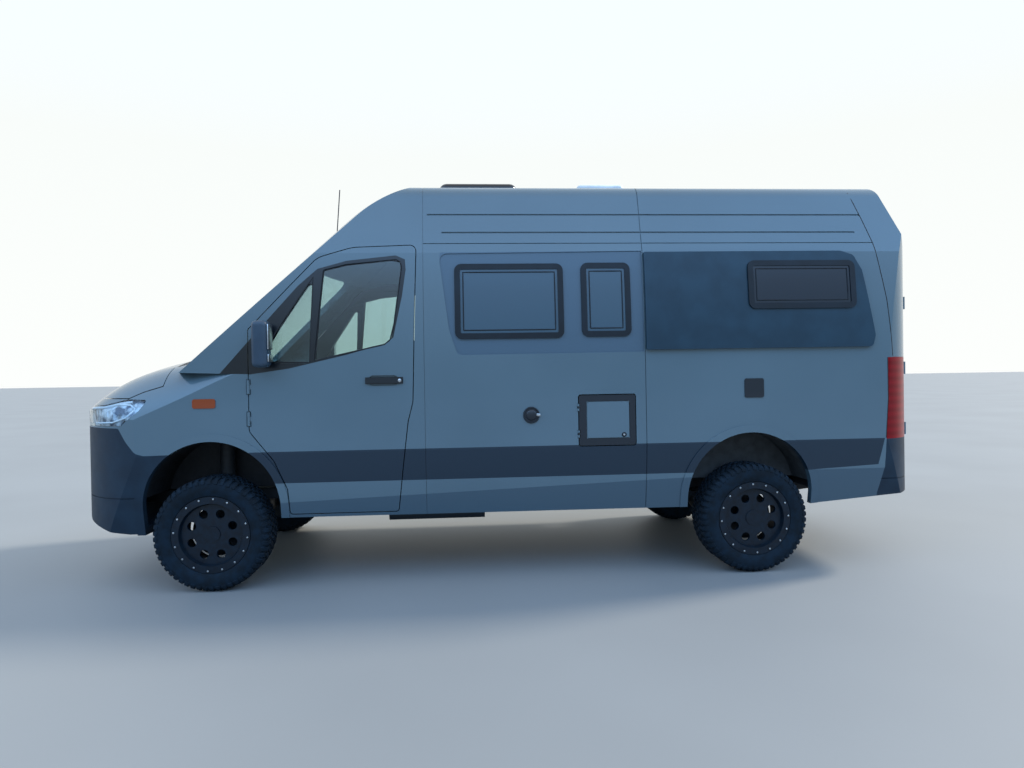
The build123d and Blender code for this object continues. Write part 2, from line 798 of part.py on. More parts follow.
for name, side in sides.items():
    near, far = side * shut_gap * 0.8, side * rear_door_half
    door_face = outline([
        (near, rear_door_low_z, 0),
        (near, rear_door_top_z, 0),
        (far, rear_door_top_z, 120),
        (far, rear_door_low_z, 0),
    ])
    glass_near, glass_far = side * rear_glass_margin, side * (rear_door_half - rear_glass_margin)
    glass_face = outline([
        (glass_near, rear_glass_low_z, 40),
        (glass_near, rear_glass_top_z, 40),
        (glass_far, rear_glass_top_z, 40),
        (glass_far, rear_glass_low_z, 40),
    ])
    door = common(door_shell, front_prism(door_face, 2500, 3200))
    door = cut(door, front_prism(glass_face, 2500, 3200))
    if side < 0:
        y_low, y_high, z_low, z_high = plate_recess
        recess = outline([(y_low, z_low, 16), (y_low, z_high, 16), (y_high, z_high, 16), (y_high, z_low, 16)])
        door = cut(door, cut(front_prism(recess, 2800, 3200), tail_deep))
    opening = front_prism(resized(door_face, shut_gap), 2500, 3200)
    rear_frame = cut(rear_frame, opening)
    rear_bumper = cut(rear_bumper, opening)
    for height in rear_hinge_heights:
        place = (rear_hinge_x, side * (rear_door_half + shut_gap / 2), height)
        clear = Pos(*place) * Cylinder(hinge_clear, hinge_slot)
        fixed, moving = hinge(place, (0, 0, 1), (-1, side * 0.2, 0), (-1, -side * 0.67, 0), 110, 92)
        door = cut(door, clear) + moving
        rear_frame = cut(rear_frame, clear)
        rear_lamps = [cut(lamp, clear) for lamp in rear_lamps]
        rear_frame = rear_frame + fixed
    keep("rear_glass_" + name, common(tail_glass, front_prism(resized(glass_face, -seat_gap), 2500, 3200)))
    keep("rear_door_" + name, door)
keep("rear_frame", rear_frame)
keep("rear_lamps", rear_lamps)
keep("rear_bumper", rear_bumper)

# Wheels: radius and distance out from the wheel's middle plane, turned about its axle
tyre_half = tyre_width / 2
bead_y = 104.7
tyre_side = [
    (rim_radius + seat_gap, bead_y),
    (ring_radius + 0.6, bead_y),
    (ring_radius + 4, bead_y + 15),
    (300, tyre_half),
    (345, tyre_half - 6),
    (366, tyre_half - 22),
    (tyre_radius, tyre_half - 39),
]
tyre_inside = [(352, 80), (345, 104), (300, 112), (246, 96)]
rim_rows = [
    (214, -112), (240, -112), (240, -105), (rim_radius, -105), (rim_radius, -84), (224, -72),
    (224, 72), (rim_radius, 84), (rim_radius, 105), (ring_radius, 105), (ring_radius, 119), (206, 119),
    (196, 119 - disc_inset + 3), (52, 119 - disc_inset + 3), (52, 94), (0, 94), (0, 62),
    (spindle_radius + run_gap, 62), (spindle_radius + run_gap, 10), (80, 10), (84, 66), (188, 66), (214, 56),
]
hat_rows = [(78, 10), (86, 10), (86, -36), (brake_radius, -36), (brake_radius, -60), (78, -60)]


def turned(rows):
    """A ring turned about the wheel's axle from rows of radius and distance out."""
    return revolve(make_face(Polyline(*rows, close=True)), Axis.Y, 360)


tyre_rows = [(r, -y) for r, y in tyre_side] + [(r, y) for r, y in reversed(tyre_side)]
tyre_rows += [(r, y) for r, y in reversed(tyre_inside)] + [(r, -y) for r, y in tyre_inside]
tyre = turned(tyre_rows)
rim = turned(rim_rows) + turned(hat_rows)
for index in range(wheel_hole_count):
    angle = radians(22.5 + index * 360 / wheel_hole_count)
    place = Pos(wheel_hole_circle * cos(angle), 75, wheel_hole_circle * sin(angle))
    rim -= place * Rot(90, 0, 0) * Cylinder(wheel_hole_radius, 60)

corners = {
    "front_left": (front_axle_x, -1),
    "front_right": (front_axle_x, 1),
    "rear_left": (rear_axle_x, -1),
    "rear_right": (rear_axle_x, 1),
}
for name, (x, side) in corners.items():
    for part_name, solid in (("tyre_", tyre), ("rim_", rim)):
        piece = solid if side > 0 else mirror(solid, Plane.XZ)
        keep(part_name + name, Pos(x, side * tyre_centre_y, axle_z) * piece)

# Front knuckles: upright, kingpins above and below, hub flange and spindle
kingpin_y = tyre_centre_y - kingpin_offset
for name, side in sides.items():
    upright = Pos(0, -kingpin_offset, 0) * Box(76, 40, 2 * kingpin_reach - 44)
    upright += Pos(0, -kingpin_offset, 0) * Cylinder(kingpin_radius, 2 * kingpin_reach + 40)
    spindle = Pos(0, -20, 0) * Rot(90, 0, 0) * Cylinder(spindle_radius, 160)
    flange = Pos(0, 0, 0) * Rot(90, 0, 0) * Cylinder(70, 19.4)
    boss = Pos(0, -40, 0) * Rot(90, 0, 0) * Cylinder(60, 70)
    knuckle = upright + spindle + flange + boss
    if side < 0:
        knuckle = mirror(knuckle, Plane.XZ)
    keep("knuckle_" + name, Pos(front_axle_x, side * tyre_centre_y, axle_z) * knuckle)

# Front axle: beam under the engine, arms to the kingpins, springs and drive shafts
arm_thick = 26.0
spring_y = 640.0
front_axle = block(front_axle_x - 70, front_axle_x + 70, -360, 360, axle_z - 60, rail_low_z - 60)
front_axle += Pos(front_axle_x, 0, axle_z) * Rot(90, 0, 0) * Cylinder(95, 320)
front_axle += Pos(front_axle_x, 0, axle_z) * Rot(90, 0, 0) * Cylinder(20, 2 * 700)
for side in (-1, 1):
    for lift in (-1, 1):
        z_mid = axle_z + lift * (kingpin_reach + 4)
        arm = make_face(Polyline((-150, 340), (150, 340), (34, 600), (20, kingpin_y), (-20, kingpin_y), (-34, 600), close=True))
        arm = Pos(front_axle_x, 0, z_mid - arm_thick / 2) * extrude(arm, arm_thick)
        arm += Pos(front_axle_x, kingpin_y, z_mid) * Cylinder(kingpin_radius + 8, arm_thick)
        arm -= Pos(front_axle_x, kingpin_y, z_mid) * Cylinder(kingpin_radius + run_gap, 2 * arm_thick)
        front_axle += arm if side > 0 else mirror(arm, Plane.XZ)
    low = axle_z + kingpin_reach
    spring_top = front_arch_z + arch_radius - 30
    front_axle += Pos(front_axle_x, side * spring_y, (low + spring_top) / 2) * Cylinder(24, spring_top - low)
    front_axle += Pos(front_axle_x, side * spring_y, spring_top - 130) * Cylinder(52, 230)
    front_axle += block(
        front_axle_x - 150, front_axle_x + 150, min(side * 340, side * 380), max(side * 340, side * 380),
        axle_z - kingpin_reach - 17, axle_z + kingpin_reach + 17)
    front_axle += block(
        front_axle_x - 60, front_axle_x + 60, min(side * rail_inner_y, side * 360), max(side * rail_inner_y, side * 360),
        rail_low_z - 110, rail_low_z)
    front_axle += block(
        front_axle_x - 60, front_axle_x + 60, min(side * rail_inner_y, side * rail_outer_y),
        max(side * rail_inner_y, side * rail_outer_y), rail_low_z - 40, rail_low_z)
keep("front_axle", front_axle)

# Rear axle beam with its final drive and spindles, on two leaf springs
rear_axle = Rot(90, 0, 0) * Cylinder(52, 2 * 700) + Sphere(150)
rear_axle += Pos(-120, 0, 0) * Rot(0, 90, 0) * Cylinder(60, 140)
for side in (-1, 1):
    rear_axle += Pos(0, side * (tyre_centre_y - 20), 0) * Rot(90, 0, 0) * Cylinder(spindle_radius, 160)
    rear_axle += Pos(0, side * (tyre_centre_y - 35), 0) * Rot(90, 0, 0) * Cylinder(60, 80)
    rear_axle += Pos(0, side * tyre_centre_y, 0) * Rot(90, 0, 0) * Cylinder(70, 19.4)
    rear_axle += Pos(0, side * 735, 0) * Rot(90, 0, 0) * Cylinder(52, 100)
    rear_axle += Pos(0, side * 465, 58) * Box(120, 90, 24)
keep("rear_axle", Pos(rear_axle_x, 0, axle_z) * rear_axle)
spring_low_z = axle_z + 70
spring_half = 640.0
leaf = make_face([
    ThreePointArc((-spring_half, rail_low_z - 34), (0, spring_low_z), (spring_half, rail_low_z - 34)),
    Line((spring_half, rail_low_z - 34), (spring_half, rail_low_z)),
    Line((spring_half, rail_low_z), (spring_half - 60, rail_low_z)),
    ThreePointArc((spring_half - 60, rail_low_z), (0, spring_low_z + 34), (60 - spring_half, rail_low_z)),
    Line((60 - spring_half, rail_low_z), (-spring_half, rail_low_z)),
    Line((-spring_half, rail_low_z), (-spring_half, rail_low_z - 34)),
])
springs = Pos(rear_axle_x, 0, 0) * side_prism(leaf, rail_inner_y, rail_outer_y)
keep("leaf_springs", both_sides(springs))

# Ladder frame: two rails and cross members up to the floor
cross_places = (-2700, -1440, -900, -100, 700, 1150, 2200, 2740)
chassis = block(rail_front_x, rail_rear_x, rail_inner_y, rail_outer_y, rail_low_z, rail_top_z)
chassis += mirror(chassis, Plane.XZ)
for x in cross_places:
    reach = 860 if -1400 < x < 1500 or x > 2150 else rail_outer_y
    chassis += block(x - 30, x + 30, -reach, reach, rail_top_z - 45, floor_z if x > -2000 else rail_top_z)
for x in jack_places:
    for side in (-1, 1):
        pad_y = side * (rail_inner_y + rail_outer_y) / 2
        chassis += block(x - 35, x + 35, pad_y - 30, pad_y + 30, rail_low_z - jack_pad_drop, rail_low_z + 1)
keep("chassis_frame", chassis)

# Engine as one block on the front of the frame, gearbox and shafts behind it
engine_box = (-2620, -1960, 310, 620, 1150)
engine = block(engine_box[0], engine_box[1], -engine_box[2], engine_box[2], engine_box[3], engine_box[4])
engine += block(-2740, -2700, -410, 410, 640, 1140)
engine += block(-2701, engine_box[0] + 1, -60, 60, 700, 860)
for side in (-1, 1):
    engine += block(-2360, -2240, min(side * 300, side * rail_outer_y), max(side * 300, side * rail_outer_y), rail_top_z, 690)
keep("engine", engine)
gearbox = block(engine_box[1] + 2, -1700, -150, 150, 470, engine_box[3] - seat_gap)
gearbox += Pos(-1400, 0, 432) * Rot(0, 90, 0) * Cone(118, 96, 640)
gearbox += Pos(-1160, 0, 440) * Box(200, 300, 220)
shaft_from, shaft_to = -1100.0, rear_axle_x - 190
shaft_length = shaft_to - shaft_from
gearbox += Pos((shaft_from + shaft_to) / 2, 0, 430) * Rot(0, 90, 0) * Cylinder(40, shaft_length)
gearbox += Pos(-100, 0, 495) * Box(60, 120, 180)
keep("gearbox_and_shaft", cut(gearbox, block(-100 - 31, -100 + 31, -200, 200, rail_top_z - 45.3, 700)))

# Exhaust with its silencer, and the fuel tank
exhaust = Pos(500, 680, 520) * Rot(0, 90, 0) * Cylinder(90, 620)
exhaust += Pos(-480, 680, 520) * Rot(0, 90, 0) * Cylinder(32, 1400)
exhaust += Pos(1000, 680, 520) * Rot(0, 90, 0) * Cylinder(32, 400)
exhaust -= block(-3000, 3000, 500, 900, rail_top_z - 45.3, 800)
keep("exhaust", exhaust)
tank = block(-820, -160, -840, -520, 400, rail_top_z - 45)
tank = fillet(tank.edges().filter_by(Axis.X), 40)
for x in (-760, -260):
    tank += block(x, x + 40, -560, -rail_outer_y - seat_gap, rail_low_z - 60, rail_low_z - 5)
    tank += block(x, x + 40, -516, -rail_outer_y - seat_gap, rail_low_z - 60, rail_low_z + 60)
keep("fuel_tank", tank)

# Floor, front bulkhead and wheel boxes
wall_in = common(section_bar(wall), plan_block(wall))
floor = common(block(door_front_x, 2900, -1000, 1000, floor_z, floor_z + floor_thick), wall_in)
floor += common(block(door_front_x - 12, door_front_x + 8, -1000, 1000, floor_z, cowl_z - 60), wall_in)
liner_thick = 8.0
rear_box_y = 692.0
for (x, z), in_y in zip(arch_places, (steer_clear_y - liner_thick, rear_box_y)):
    for side in (-1, 1):
        low, high = sorted((side * (in_y - seat_gap), side * 1100))
        floor = cut(floor, arch_cut(x, z, arch_radius + liner_thick + seat_gap, low, high))
rear_box = cut(
    arch_cut(arch_places[1][0], arch_places[1][1], arch_radius + liner_thick + 1, rear_box_y - 1, 1000),
    arch_cut(arch_places[1][0], arch_places[1][1], arch_radius, rear_box_y + liner_thick, 1100))
rear_box = common(common(rear_box, block(-4000, 4000, 0, 1100, floor_z - 20, 4000)), wall_in)
for shape in both_sides(rear_box):
    floor += shape
keep("floor", floor)
front_box = cut(
    arch_cut(arch_places[0][0], arch_places[0][1], arch_radius + liner_thick, steer_clear_y - liner_thick, 1000),
    arch_cut(arch_places[0][0], arch_places[0][1], arch_radius, steer_clear_y, 1100))
front_box = common(common(front_box, block(-4000, -1500, 0, 1100, floor_z - 20, 4000)), common(wall_in, inner))
keep("wheelhouse_liners", both_sides(front_box))

# Mirrors on short arms, one per cab door
for name, side in sides.items():
    body = fillet(Box(108, 128, 300).edges().filter_by(Axis.Z), 42)
    body = fillet(body.faces().sort_by(Axis.Z)[-1].edges() + body.faces().sort_by(Axis.Z)[0].edges(), 28)
    body = Pos(-1584, side * 1104, 1615) * body
    arm = block(-1610, -1560, min(side * 960, side * 1060), max(side * 960, side * 1060), 1500, 1540)
    arm = cut(arm, section_bar(-seat_gap))
    keep("mirror_" + name, body + arm)

# Cab inside: dashboard with the steering wheel, and two seats
dash = outline([
    (door_front_x + 8 + seat_gap, floor_z + 60, 0),
    (door_front_x + 8 + seat_gap, 1330, 0),
    (-1560, 1400, 40),
    (-1400, 1330, 60),
    (-1390, 1200, 60),
    (-1520, 1080, 60),
    (-1560, floor_z + 60, 0),
])
dash_cut = arch_cut(arch_places[0][0], arch_places[0][1], arch_radius + 12, -1200, 1200)
dashboard = cut(side_prism(dash, -900, 900), dash_cut)
column = Pos(-1370, -450, 1300) * Rot(0, 60, 0) * Cylinder(30, 160)
wheel_ring = Pos(-1318, -450, 1330) * Rot(0, 60, 0) * (Torus(188, 15) + Cylinder(60, 24) + Box(370, 36, 14))
keep("dashboard", dashboard + column + wheel_ring)
seat_side = outline([
    (-1080, floor_z + floor_thick, 0),
    (-1080, 900, 40),
    (-1150, 1020, 40),
    (-1120, 1080, 30),
    (-640, 1060, 20),
    (-520, 1560, 0),
    (-540, 1760, 30),
    (-430, 1760, 30),
    (-430, 1560, 0),
    (-520, 1000, 40),
    (-620, floor_z + floor_thick, 0),
])
seats = [side_prism(seat_side, side * 470 - 250, side * 470 + 250) for side in (-1, 1)]
keep("front_seats", seats)

# Living area: kitchen block by the sliding door, bench and rear bed
inside_floor = floor_z + floor_thick
kitchen = block(-150, 900, 380, 900, inside_floor, 1560)
bench = block(-330, 250, -900, -480, inside_floor, 1120)
bed = block(1150, 2750, -900, 900, 1430, 1560)
bed_base = block(1150, 1190, -690, 690, inside_floor, 1430) + block(2240, 2280, -690, 690, inside_floor, 1430)
keep("furniture", [common(shape, wall_in) for shape in (kitchen, bench, bed + bed_base)])

# Roof light, vent and whip aerial
roof_light = fillet(Box(596, 600, 100).edges().filter_by(Axis.Z), 60)
roof_light = fillet(roof_light.faces().sort_by(Axis.Z)[-1].edges(), 45)
vent = fillet(Box(380, 400, 130).edges().filter_by(Axis.Z), 40)
vent = fillet(vent.faces().sort_by(Axis.Z)[-1].edges(), 30)
aerial = Pos(-1280, 0, 2670) * Rot(0, 4.5, 0) * Cylinder(4, 470) + Pos(-1298, 0, 2440) * Cylinder(22, 60)
roof_light = cut(Pos(-156, 0, 2757 + 126 - 50) * roof_light + block(-440, 128, -280, 280, 2700, 2840), section_bar(0))
vent = cut(Pos(822, 0, 2757 + 146 - 65) * vent + block(650, 994, -180, 180, 2700, 2800), section_bar(0))
keep("roof_light", roof_light)
keep("roof_vent", vent)
keep("aerial", cut(aerial, cabin_block(0)))

for name, solids in nodes.items():
    compound = Compound(children=list(solids)) if len(solids) > 1 else solids[0]
    export_step(compound, "parts/" + name + ".step")
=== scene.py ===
import math

import bpy
from mathutils import Matrix, Vector
from mathutils.bvhtree import BVHTree


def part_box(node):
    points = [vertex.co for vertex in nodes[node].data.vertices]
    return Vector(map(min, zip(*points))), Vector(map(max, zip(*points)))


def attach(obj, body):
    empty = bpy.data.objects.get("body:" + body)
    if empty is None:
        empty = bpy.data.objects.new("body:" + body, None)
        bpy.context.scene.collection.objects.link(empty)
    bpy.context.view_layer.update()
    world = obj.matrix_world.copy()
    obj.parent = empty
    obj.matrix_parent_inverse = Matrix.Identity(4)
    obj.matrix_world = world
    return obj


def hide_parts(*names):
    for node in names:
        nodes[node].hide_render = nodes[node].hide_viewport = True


# A high-roof camper van, dressed on its CAD frame. Metres, +Z up, the van drives towards -X.

mm = 0.001
weld = 0.02 * mm  # vertices closer than this become one
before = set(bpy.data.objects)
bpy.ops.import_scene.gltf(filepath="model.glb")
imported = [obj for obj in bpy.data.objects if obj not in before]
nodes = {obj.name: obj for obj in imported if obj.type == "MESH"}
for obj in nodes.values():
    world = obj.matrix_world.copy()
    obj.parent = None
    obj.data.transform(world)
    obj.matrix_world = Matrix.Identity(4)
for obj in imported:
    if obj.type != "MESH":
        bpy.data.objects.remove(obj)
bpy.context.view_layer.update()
print("frame loaded:", len(nodes), "nodes")


# small helpers for modelling

def deselectAll():
    if bpy.context.object and bpy.context.object.mode != "OBJECT":
        bpy.ops.object.mode_set(mode="OBJECT")
    bpy.ops.object.select_all(action="DESELECT")


def activate(obj):
    deselectAll()
    obj.select_set(True)
    bpy.context.view_layer.objects.active = obj


def editMode(select="VERT"):
    bpy.ops.object.mode_set(mode="EDIT")
    chosen = [select == kind for kind in ("VERT", "EDGE", "FACE")]
    bpy.context.tool_settings.mesh_select_mode = chosen


def objectMode():
    bpy.ops.object.mode_set(mode="OBJECT")


def nameIt(obj, name):
    obj.name = name
    obj.data.name = name
    return obj


def settle(obj):
    activate(obj)
    bpy.ops.object.transform_apply(location=True, rotation=True, scale=True)
    return obj


def recalculate(obj, merge=0.0):
    activate(obj)
    editMode()
    bpy.ops.mesh.select_all(action="SELECT")
    if merge:
        bpy.ops.mesh.remove_doubles(threshold=merge)
    bpy.ops.mesh.normals_make_consistent(inside=False)
    objectMode()


def modify(obj, kind, **settings):
    activate(obj)
    modifier = obj.modifiers.new(kind.title(), kind)
    for key, value in settings.items():
        setattr(modifier, key, value)
    bpy.ops.object.modifier_apply(modifier=modifier.name)


def smooth(obj, angle=35):
    activate(obj)
    bpy.ops.object.shade_smooth_by_angle(angle=math.radians(angle))


def joined(parts, name):
    deselectAll()
    for part in parts:
        part.select_set(True)
    bpy.context.view_layer.objects.active = parts[0]
    if len(parts) > 1:
        bpy.ops.object.join()
    return nameIt(parts[0], name)


def copied(obj, name):
    # a free copy without the properties that tie the first one to its body
    twin = obj.copy()
    twin.data = obj.data.copy()
    for key in list(twin.keys()):
        del twin[key]
    twin.parent = None
    twin.hide_render = twin.hide_viewport = False
    bpy.context.scene.collection.objects.link(twin)
    return nameIt(twin, name)


def profileLine(points, name):
    # a chain of edges through the points in metres, left in edit mode
    deselectAll()
    bpy.ops.mesh.primitive_plane_add(size=0.01, location=(0, 0, 0))
    obj = nameIt(bpy.context.object, name)
    editMode()
    bpy.ops.mesh.select_all(action="SELECT")
    bpy.ops.mesh.merge(type="CENTER")
    bpy.ops.transform.translate(value=points[0])
    for start, end in zip(points, points[1:]):
        step = [b - a for a, b in zip(start, end)]
        bpy.ops.mesh.extrude_region_move(TRANSFORM_OT_translate={"value": step})
    return obj


def closeAndFill():
    bpy.ops.mesh.select_all(action="SELECT")
    bpy.ops.mesh.edge_face_add()


def spunRing(centre, axis, steps):
    # the open profile in edit mode, turned once round the axis and left in object mode
    bpy.ops.mesh.select_all(action="SELECT")
    bpy.ops.mesh.spin(steps=steps, angle=2 * math.pi, center=centre, axis=axis)
    bpy.ops.mesh.select_all(action="SELECT")
    bpy.ops.mesh.remove_doubles(threshold=weld)
    bpy.ops.mesh.normals_make_consistent(inside=False)
    objectMode()


def repeatedRound(obj, count, centre, axis):
    activate(obj)
    editMode()
    bpy.ops.mesh.select_all(action="SELECT")
    turn = 2 * math.pi * (count - 1) / count
    bpy.ops.mesh.spin(steps=count - 1, dupli=True, angle=turn, center=centre, axis=axis)
    objectMode()


def tubeAlong(points, radiusMm, name, sides=4):
    # a round tube along a chain of points, through a bevelled curve
    obj = profileLine(points, name)
    objectMode()
    bpy.ops.object.convert(target="CURVE")
    curve = bpy.context.object
    curve.data.bevel_depth = radiusMm * mm
    curve.data.bevel_resolution = sides
    curve.data.use_fill_caps = True
    bpy.ops.object.convert(target="MESH")
    obj = nameIt(bpy.context.object, name)
    recalculate(obj, weld)
    smooth(obj, 50)
    return obj


def roundedBox(size, spot, name, bevelMm=4.0, segments=2, turn=(0, 0, 0)):
    # a box with all its edges rounded, size and spot in millimetres, turn in degrees
    deselectAll()
    bpy.ops.mesh.primitive_cube_add(
        size=1, location=[v * mm for v in spot], rotation=[math.radians(v) for v in turn])
    obj = bpy.context.object
    obj.scale = [v * mm for v in size]
    settle(obj)
    modify(obj, "BEVEL", width=bevelMm * mm, segments=segments, limit_method="ANGLE")
    smooth(obj, 40)
    return nameIt(obj, name)


def lathed(rows, spot, axis, name, steps=48):
    # rows of radius and height along the axis, in millimetres, turned about it
    along = Vector(axis)
    across = Vector((0, 0, 1)) if abs(along.z) < 0.5 else Vector((1, 0, 0))
    centre = Vector(spot) * mm
    points = [centre + across * r * mm + along * h * mm for r, h in rows]
    obj = profileLine([tuple(p) for p in points], name)
    spunRing(tuple(centre), axis, steps)
    smooth(obj, 35)
    return obj


trees = {}
outsideY = 1400  # rays start this far out at the side, clear of the body


def surfaceAt(names, origin, direction):
    # where a ray meets the given CAD nodes, in millimetres
    best = None
    for nodeName in names:
        if nodeName not in trees:
            data = nodes[nodeName].data
            trees[nodeName] = BVHTree.FromPolygons(
                [v.co for v in data.vertices], [p.vertices for p in data.polygons])
        hit = trees[nodeName].ray_cast(Vector(origin) * mm, Vector(direction))
        if hit[0] is not None and (best is None or hit[3] < best[1]):
            best = (hit[0], hit[3])
    return best[0] / mm if best else None


def sideLine(names, corners, side, stepMm=60, lift=0.0):
    # points on the body side along a side-view line, x and z in millimetres
    places = []
    for (x0, z0), (x1, z1) in zip(corners, corners[1:]):
        count = max(1, round(math.hypot(x1 - x0, z1 - z0) / stepMm))
        places += [
            (x0 + (x1 - x0) * i / count, z0 + (z1 - z0) * i / count) for i in range(count)]
    places.append(corners[-1])
    points = []
    for x, z in places:
        hit = surfaceAt(names, (x, side * outsideY, z), (0, -side, 0))
        if hit is not None:
            points.append((x * mm, (hit.y + side * lift) * mm, z * mm))
    return points


def place(obj, body, material):
    dress(obj, material)
    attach(obj, body)
    return obj


# small helpers for materials

def linear(code):
    levels = [int(code[i:i + 2], 16) / 255 for i in (1, 3, 5)]
    return [v / 12.92 if v <= 0.04045 else ((v + 0.055) / 1.055) ** 2.4 for v in levels] + [1.0]


def socketOf(node, key):
    # a socket by its name, or by its number where the key says in0, in1 and so on
    if key.startswith("in") and key[2:].isdigit():
        return node.inputs[int(key[2:])]
    return node.inputs[key.replace("_", " ")]


def addNode(tree, kind, settings=None, **links):
    node = tree.nodes.new(kind)
    for key, value in (settings or {}).items():
        if hasattr(node, key):
            setattr(node, key, value)
        else:
            socketOf(node, key).default_value = value
    for key, source in links.items():
        tree.links.new(source, socketOf(node, key))
    return node


def newMaterial(name):
    material = bpy.data.materials.new(name)
    material.use_nodes = True
    tree = material.node_tree
    tree.nodes.clear()
    coords = addNode(tree, "ShaderNodeTexCoord")
    shader = addNode(tree, "ShaderNodeBsdfPrincipled")
    output = addNode(tree, "ShaderNodeOutputMaterial")
    tree.links.new(shader.outputs[0], output.inputs[0])
    return material, tree, coords.outputs["Object"], shader


def setShader(shader, **values):
    for key, value in values.items():
        socketOf(shader, key).default_value = value


def grain(tree, coords, sizeMm, detail=3.0):
    return addNode(tree, "ShaderNodeTexNoise", {"Scale": 1 / (sizeMm * mm), "Detail": detail}, Vector=coords)


def bumped(tree, shader, height, strength, depthMm):
    bump = addNode(tree, "ShaderNodeBump", {"Strength": strength, "Distance": depthMm * mm}, Height=height)
    tree.links.new(bump.outputs[0], shader.inputs["Normal"])
    return bump


def varied(tree, coords, shader, dark, light, sizeMm, low=0.35, high=0.65):
    noise = grain(tree, coords, sizeMm)
    share = addNode(tree, "ShaderNodeMapRange", {"From Min": low, "From Max": high}, Value=noise.outputs[0])
    mix = addNode(tree, "ShaderNodeMix", {"data_type": "RGBA"}, Factor=share.outputs[0])
    mix.inputs[6].default_value = linear(dark)
    mix.inputs[7].default_value = linear(light)
    tree.links.new(mix.outputs[2], shader.inputs["Base Color"])
    return mix


def roughened(tree, coords, shader, sizeMm, low, high):
    noise = grain(tree, coords, sizeMm)
    spread = addNode(tree, "ShaderNodeMapRange", {"To Min": low, "To Max": high}, Value=noise.outputs[0])
    tree.links.new(spread.outputs[0], shader.inputs["Roughness"])


def regionMask(tree, coords, corners, sideSign=0):
    # 1 inside a side-view outline, and with a side sign on that side of the van alone
    tests = []
    for (x0, z0), (x1, z1) in zip(corners, corners[1:] + corners[:1]):
        across = Vector((z1 - z0, 0, -(x1 - x0))).normalized()
        tests.append((across, (across.x * x0 + across.z * z0) * mm))
    if sideSign:
        tests.append(((0, sideSign, 0), sideReach * mm))
    product = None
    for across, limit in tests:
        reach = addNode(
            tree, "ShaderNodeVectorMath", {"operation": "DOT_PRODUCT", "in1": across}, in0=coords)
        inside = addNode(
            tree, "ShaderNodeMath", {"operation": "GREATER_THAN", "in1": limit}, in0=reach.outputs[1])
        if product is None:
            product = inside
        else:
            product = addNode(
                tree, "ShaderNodeMath", {"operation": "MULTIPLY"},
                in0=product.outputs[0], in1=inside.outputs[0])
    return product.outputs[0]


# materials of the body

sideReach = 500  # what is painted on one side alone begins this far from the middle
# outlines in side view, x and z in millimetres, clockwise
sideBand = [(-1760, 700), (-1760, 911), (2640, 911), (2601, 726), (2103, 700)]
# the foot strip below the band is painted shade: darker paint along the lower body that stands in for the dark
# ground reflected there
sideFootShade = [(-3200, 300), (-3200, 700), (2110, 700), (3200, 740), (3200, 300)]
handlePlace = [(-944, 1346), (-944, 1391), (-694, 1391), (-694, 1346)]
lockerPanel = [(537, 954), (537, 1203), (830, 1203), (830, 954)]
lockerZone = [(300, 800), (300, 1300), (1000, 1300), (1000, 800)]
fittingZone = [(-300, 800), (-300, 1400), (2000, 1400), (2000, 800)]
allPanes = [(-600, 1500), (-600, 2300), (3000, 2300), (3000, 1500)]
forwardPanes = [(-600, 1500), (-600, 2300), (940, 2300), (940, 1500)]
indicatorPlace = [(-2070, 1195), (-2070, 1276), (-1900, 1276), (-1900, 1195)]
doorSurround = [
    (-1886, 1427), (-1375, 2006), (-1250, 2118), (-1060, 2172), (-734, 2208), (-672, 2180), (-668, 2110),
    (-693, 1935), (-754, 1654), (-810, 1612), (-1071, 1541), (-1440, 1457), (-1714, 1419),
]
windowZone = [
    (-441, 2218), (-431, 2228), (943, 2234), (943, 1537), (-300, 1531), (-330, 1540), (-384, 1703),
    (-441, 2158),
]

bodyPaint = {
    "colour": "#566b75",
    "colourShade": "#516670",
    "band": "#082434",
    # the foot colour is painted shade along the lower body
    "foot": "#3c525f",
    "surround": "#081016",
    "zone": "#445b6b",
    "handle": "#0e171e",
    "roughness": 0.2,
}


def coachEnamel(name, regions):
    # two-layer coach enamel, sprayed and baked: deep gloss from a clear coat, with faint orange peel
    # regions hold an outline, a side sign or 0, a colour and a roughness
    material, tree, coords, shader = newMaterial(name)
    mix = varied(tree, coords, shader, bodyPaint["colourShade"], bodyPaint["colour"], 900)
    colour = mix.outputs[2]
    rough = None
    for corners, sideSign, code, roughness in regions:
        mask = regionMask(tree, coords, corners, sideSign)
        over = addNode(tree, "ShaderNodeMix", {"data_type": "RGBA"}, Factor=mask)
        tree.links.new(colour, over.inputs[6])
        over.inputs[7].default_value = linear(code)
        colour = over.outputs[2]
        step = addNode(tree, "ShaderNodeMix", {"data_type": "FLOAT"}, Factor=mask)
        if rough is None:
            step.inputs[2].default_value = bodyPaint["roughness"]
        else:
            tree.links.new(rough, step.inputs[2])
        step.inputs[3].default_value = roughness
        rough = step.outputs[0]
    tree.links.new(colour, shader.inputs["Base Color"])
    if rough is None:
        setShader(shader, Roughness=bodyPaint["roughness"])
    else:
        tree.links.new(rough, shader.inputs["Roughness"])
    setShader(shader, IOR=1.42, Coat_Weight=0.35, Coat_Roughness=0.03, Coat_IOR=1.5)
    peel = grain(tree, coords, 14, 1.0)
    bumped(tree, shader, peel.outputs[0], 0.02, 1.0)
    return material


def mouldedAbs(name, dark, light, grainMm=2.2, roughness=(0.5, 0.62), depth=0.25):
    # moulded ABS: a dull, even face with the fine leather grain of the mould
    material, tree, coords, shader = newMaterial(name)
    varied(tree, coords, shader, dark, light, 160)
    roughened(tree, coords, shader, 60, *roughness)
    cells = addNode(tree, "ShaderNodeTexVoronoi", {"Scale": 1 / (grainMm * mm)}, Vector=coords)
    bumped(tree, shader, cells.outputs[0], 0.35, depth)
    setShader(shader, IOR=1.4)
    return material


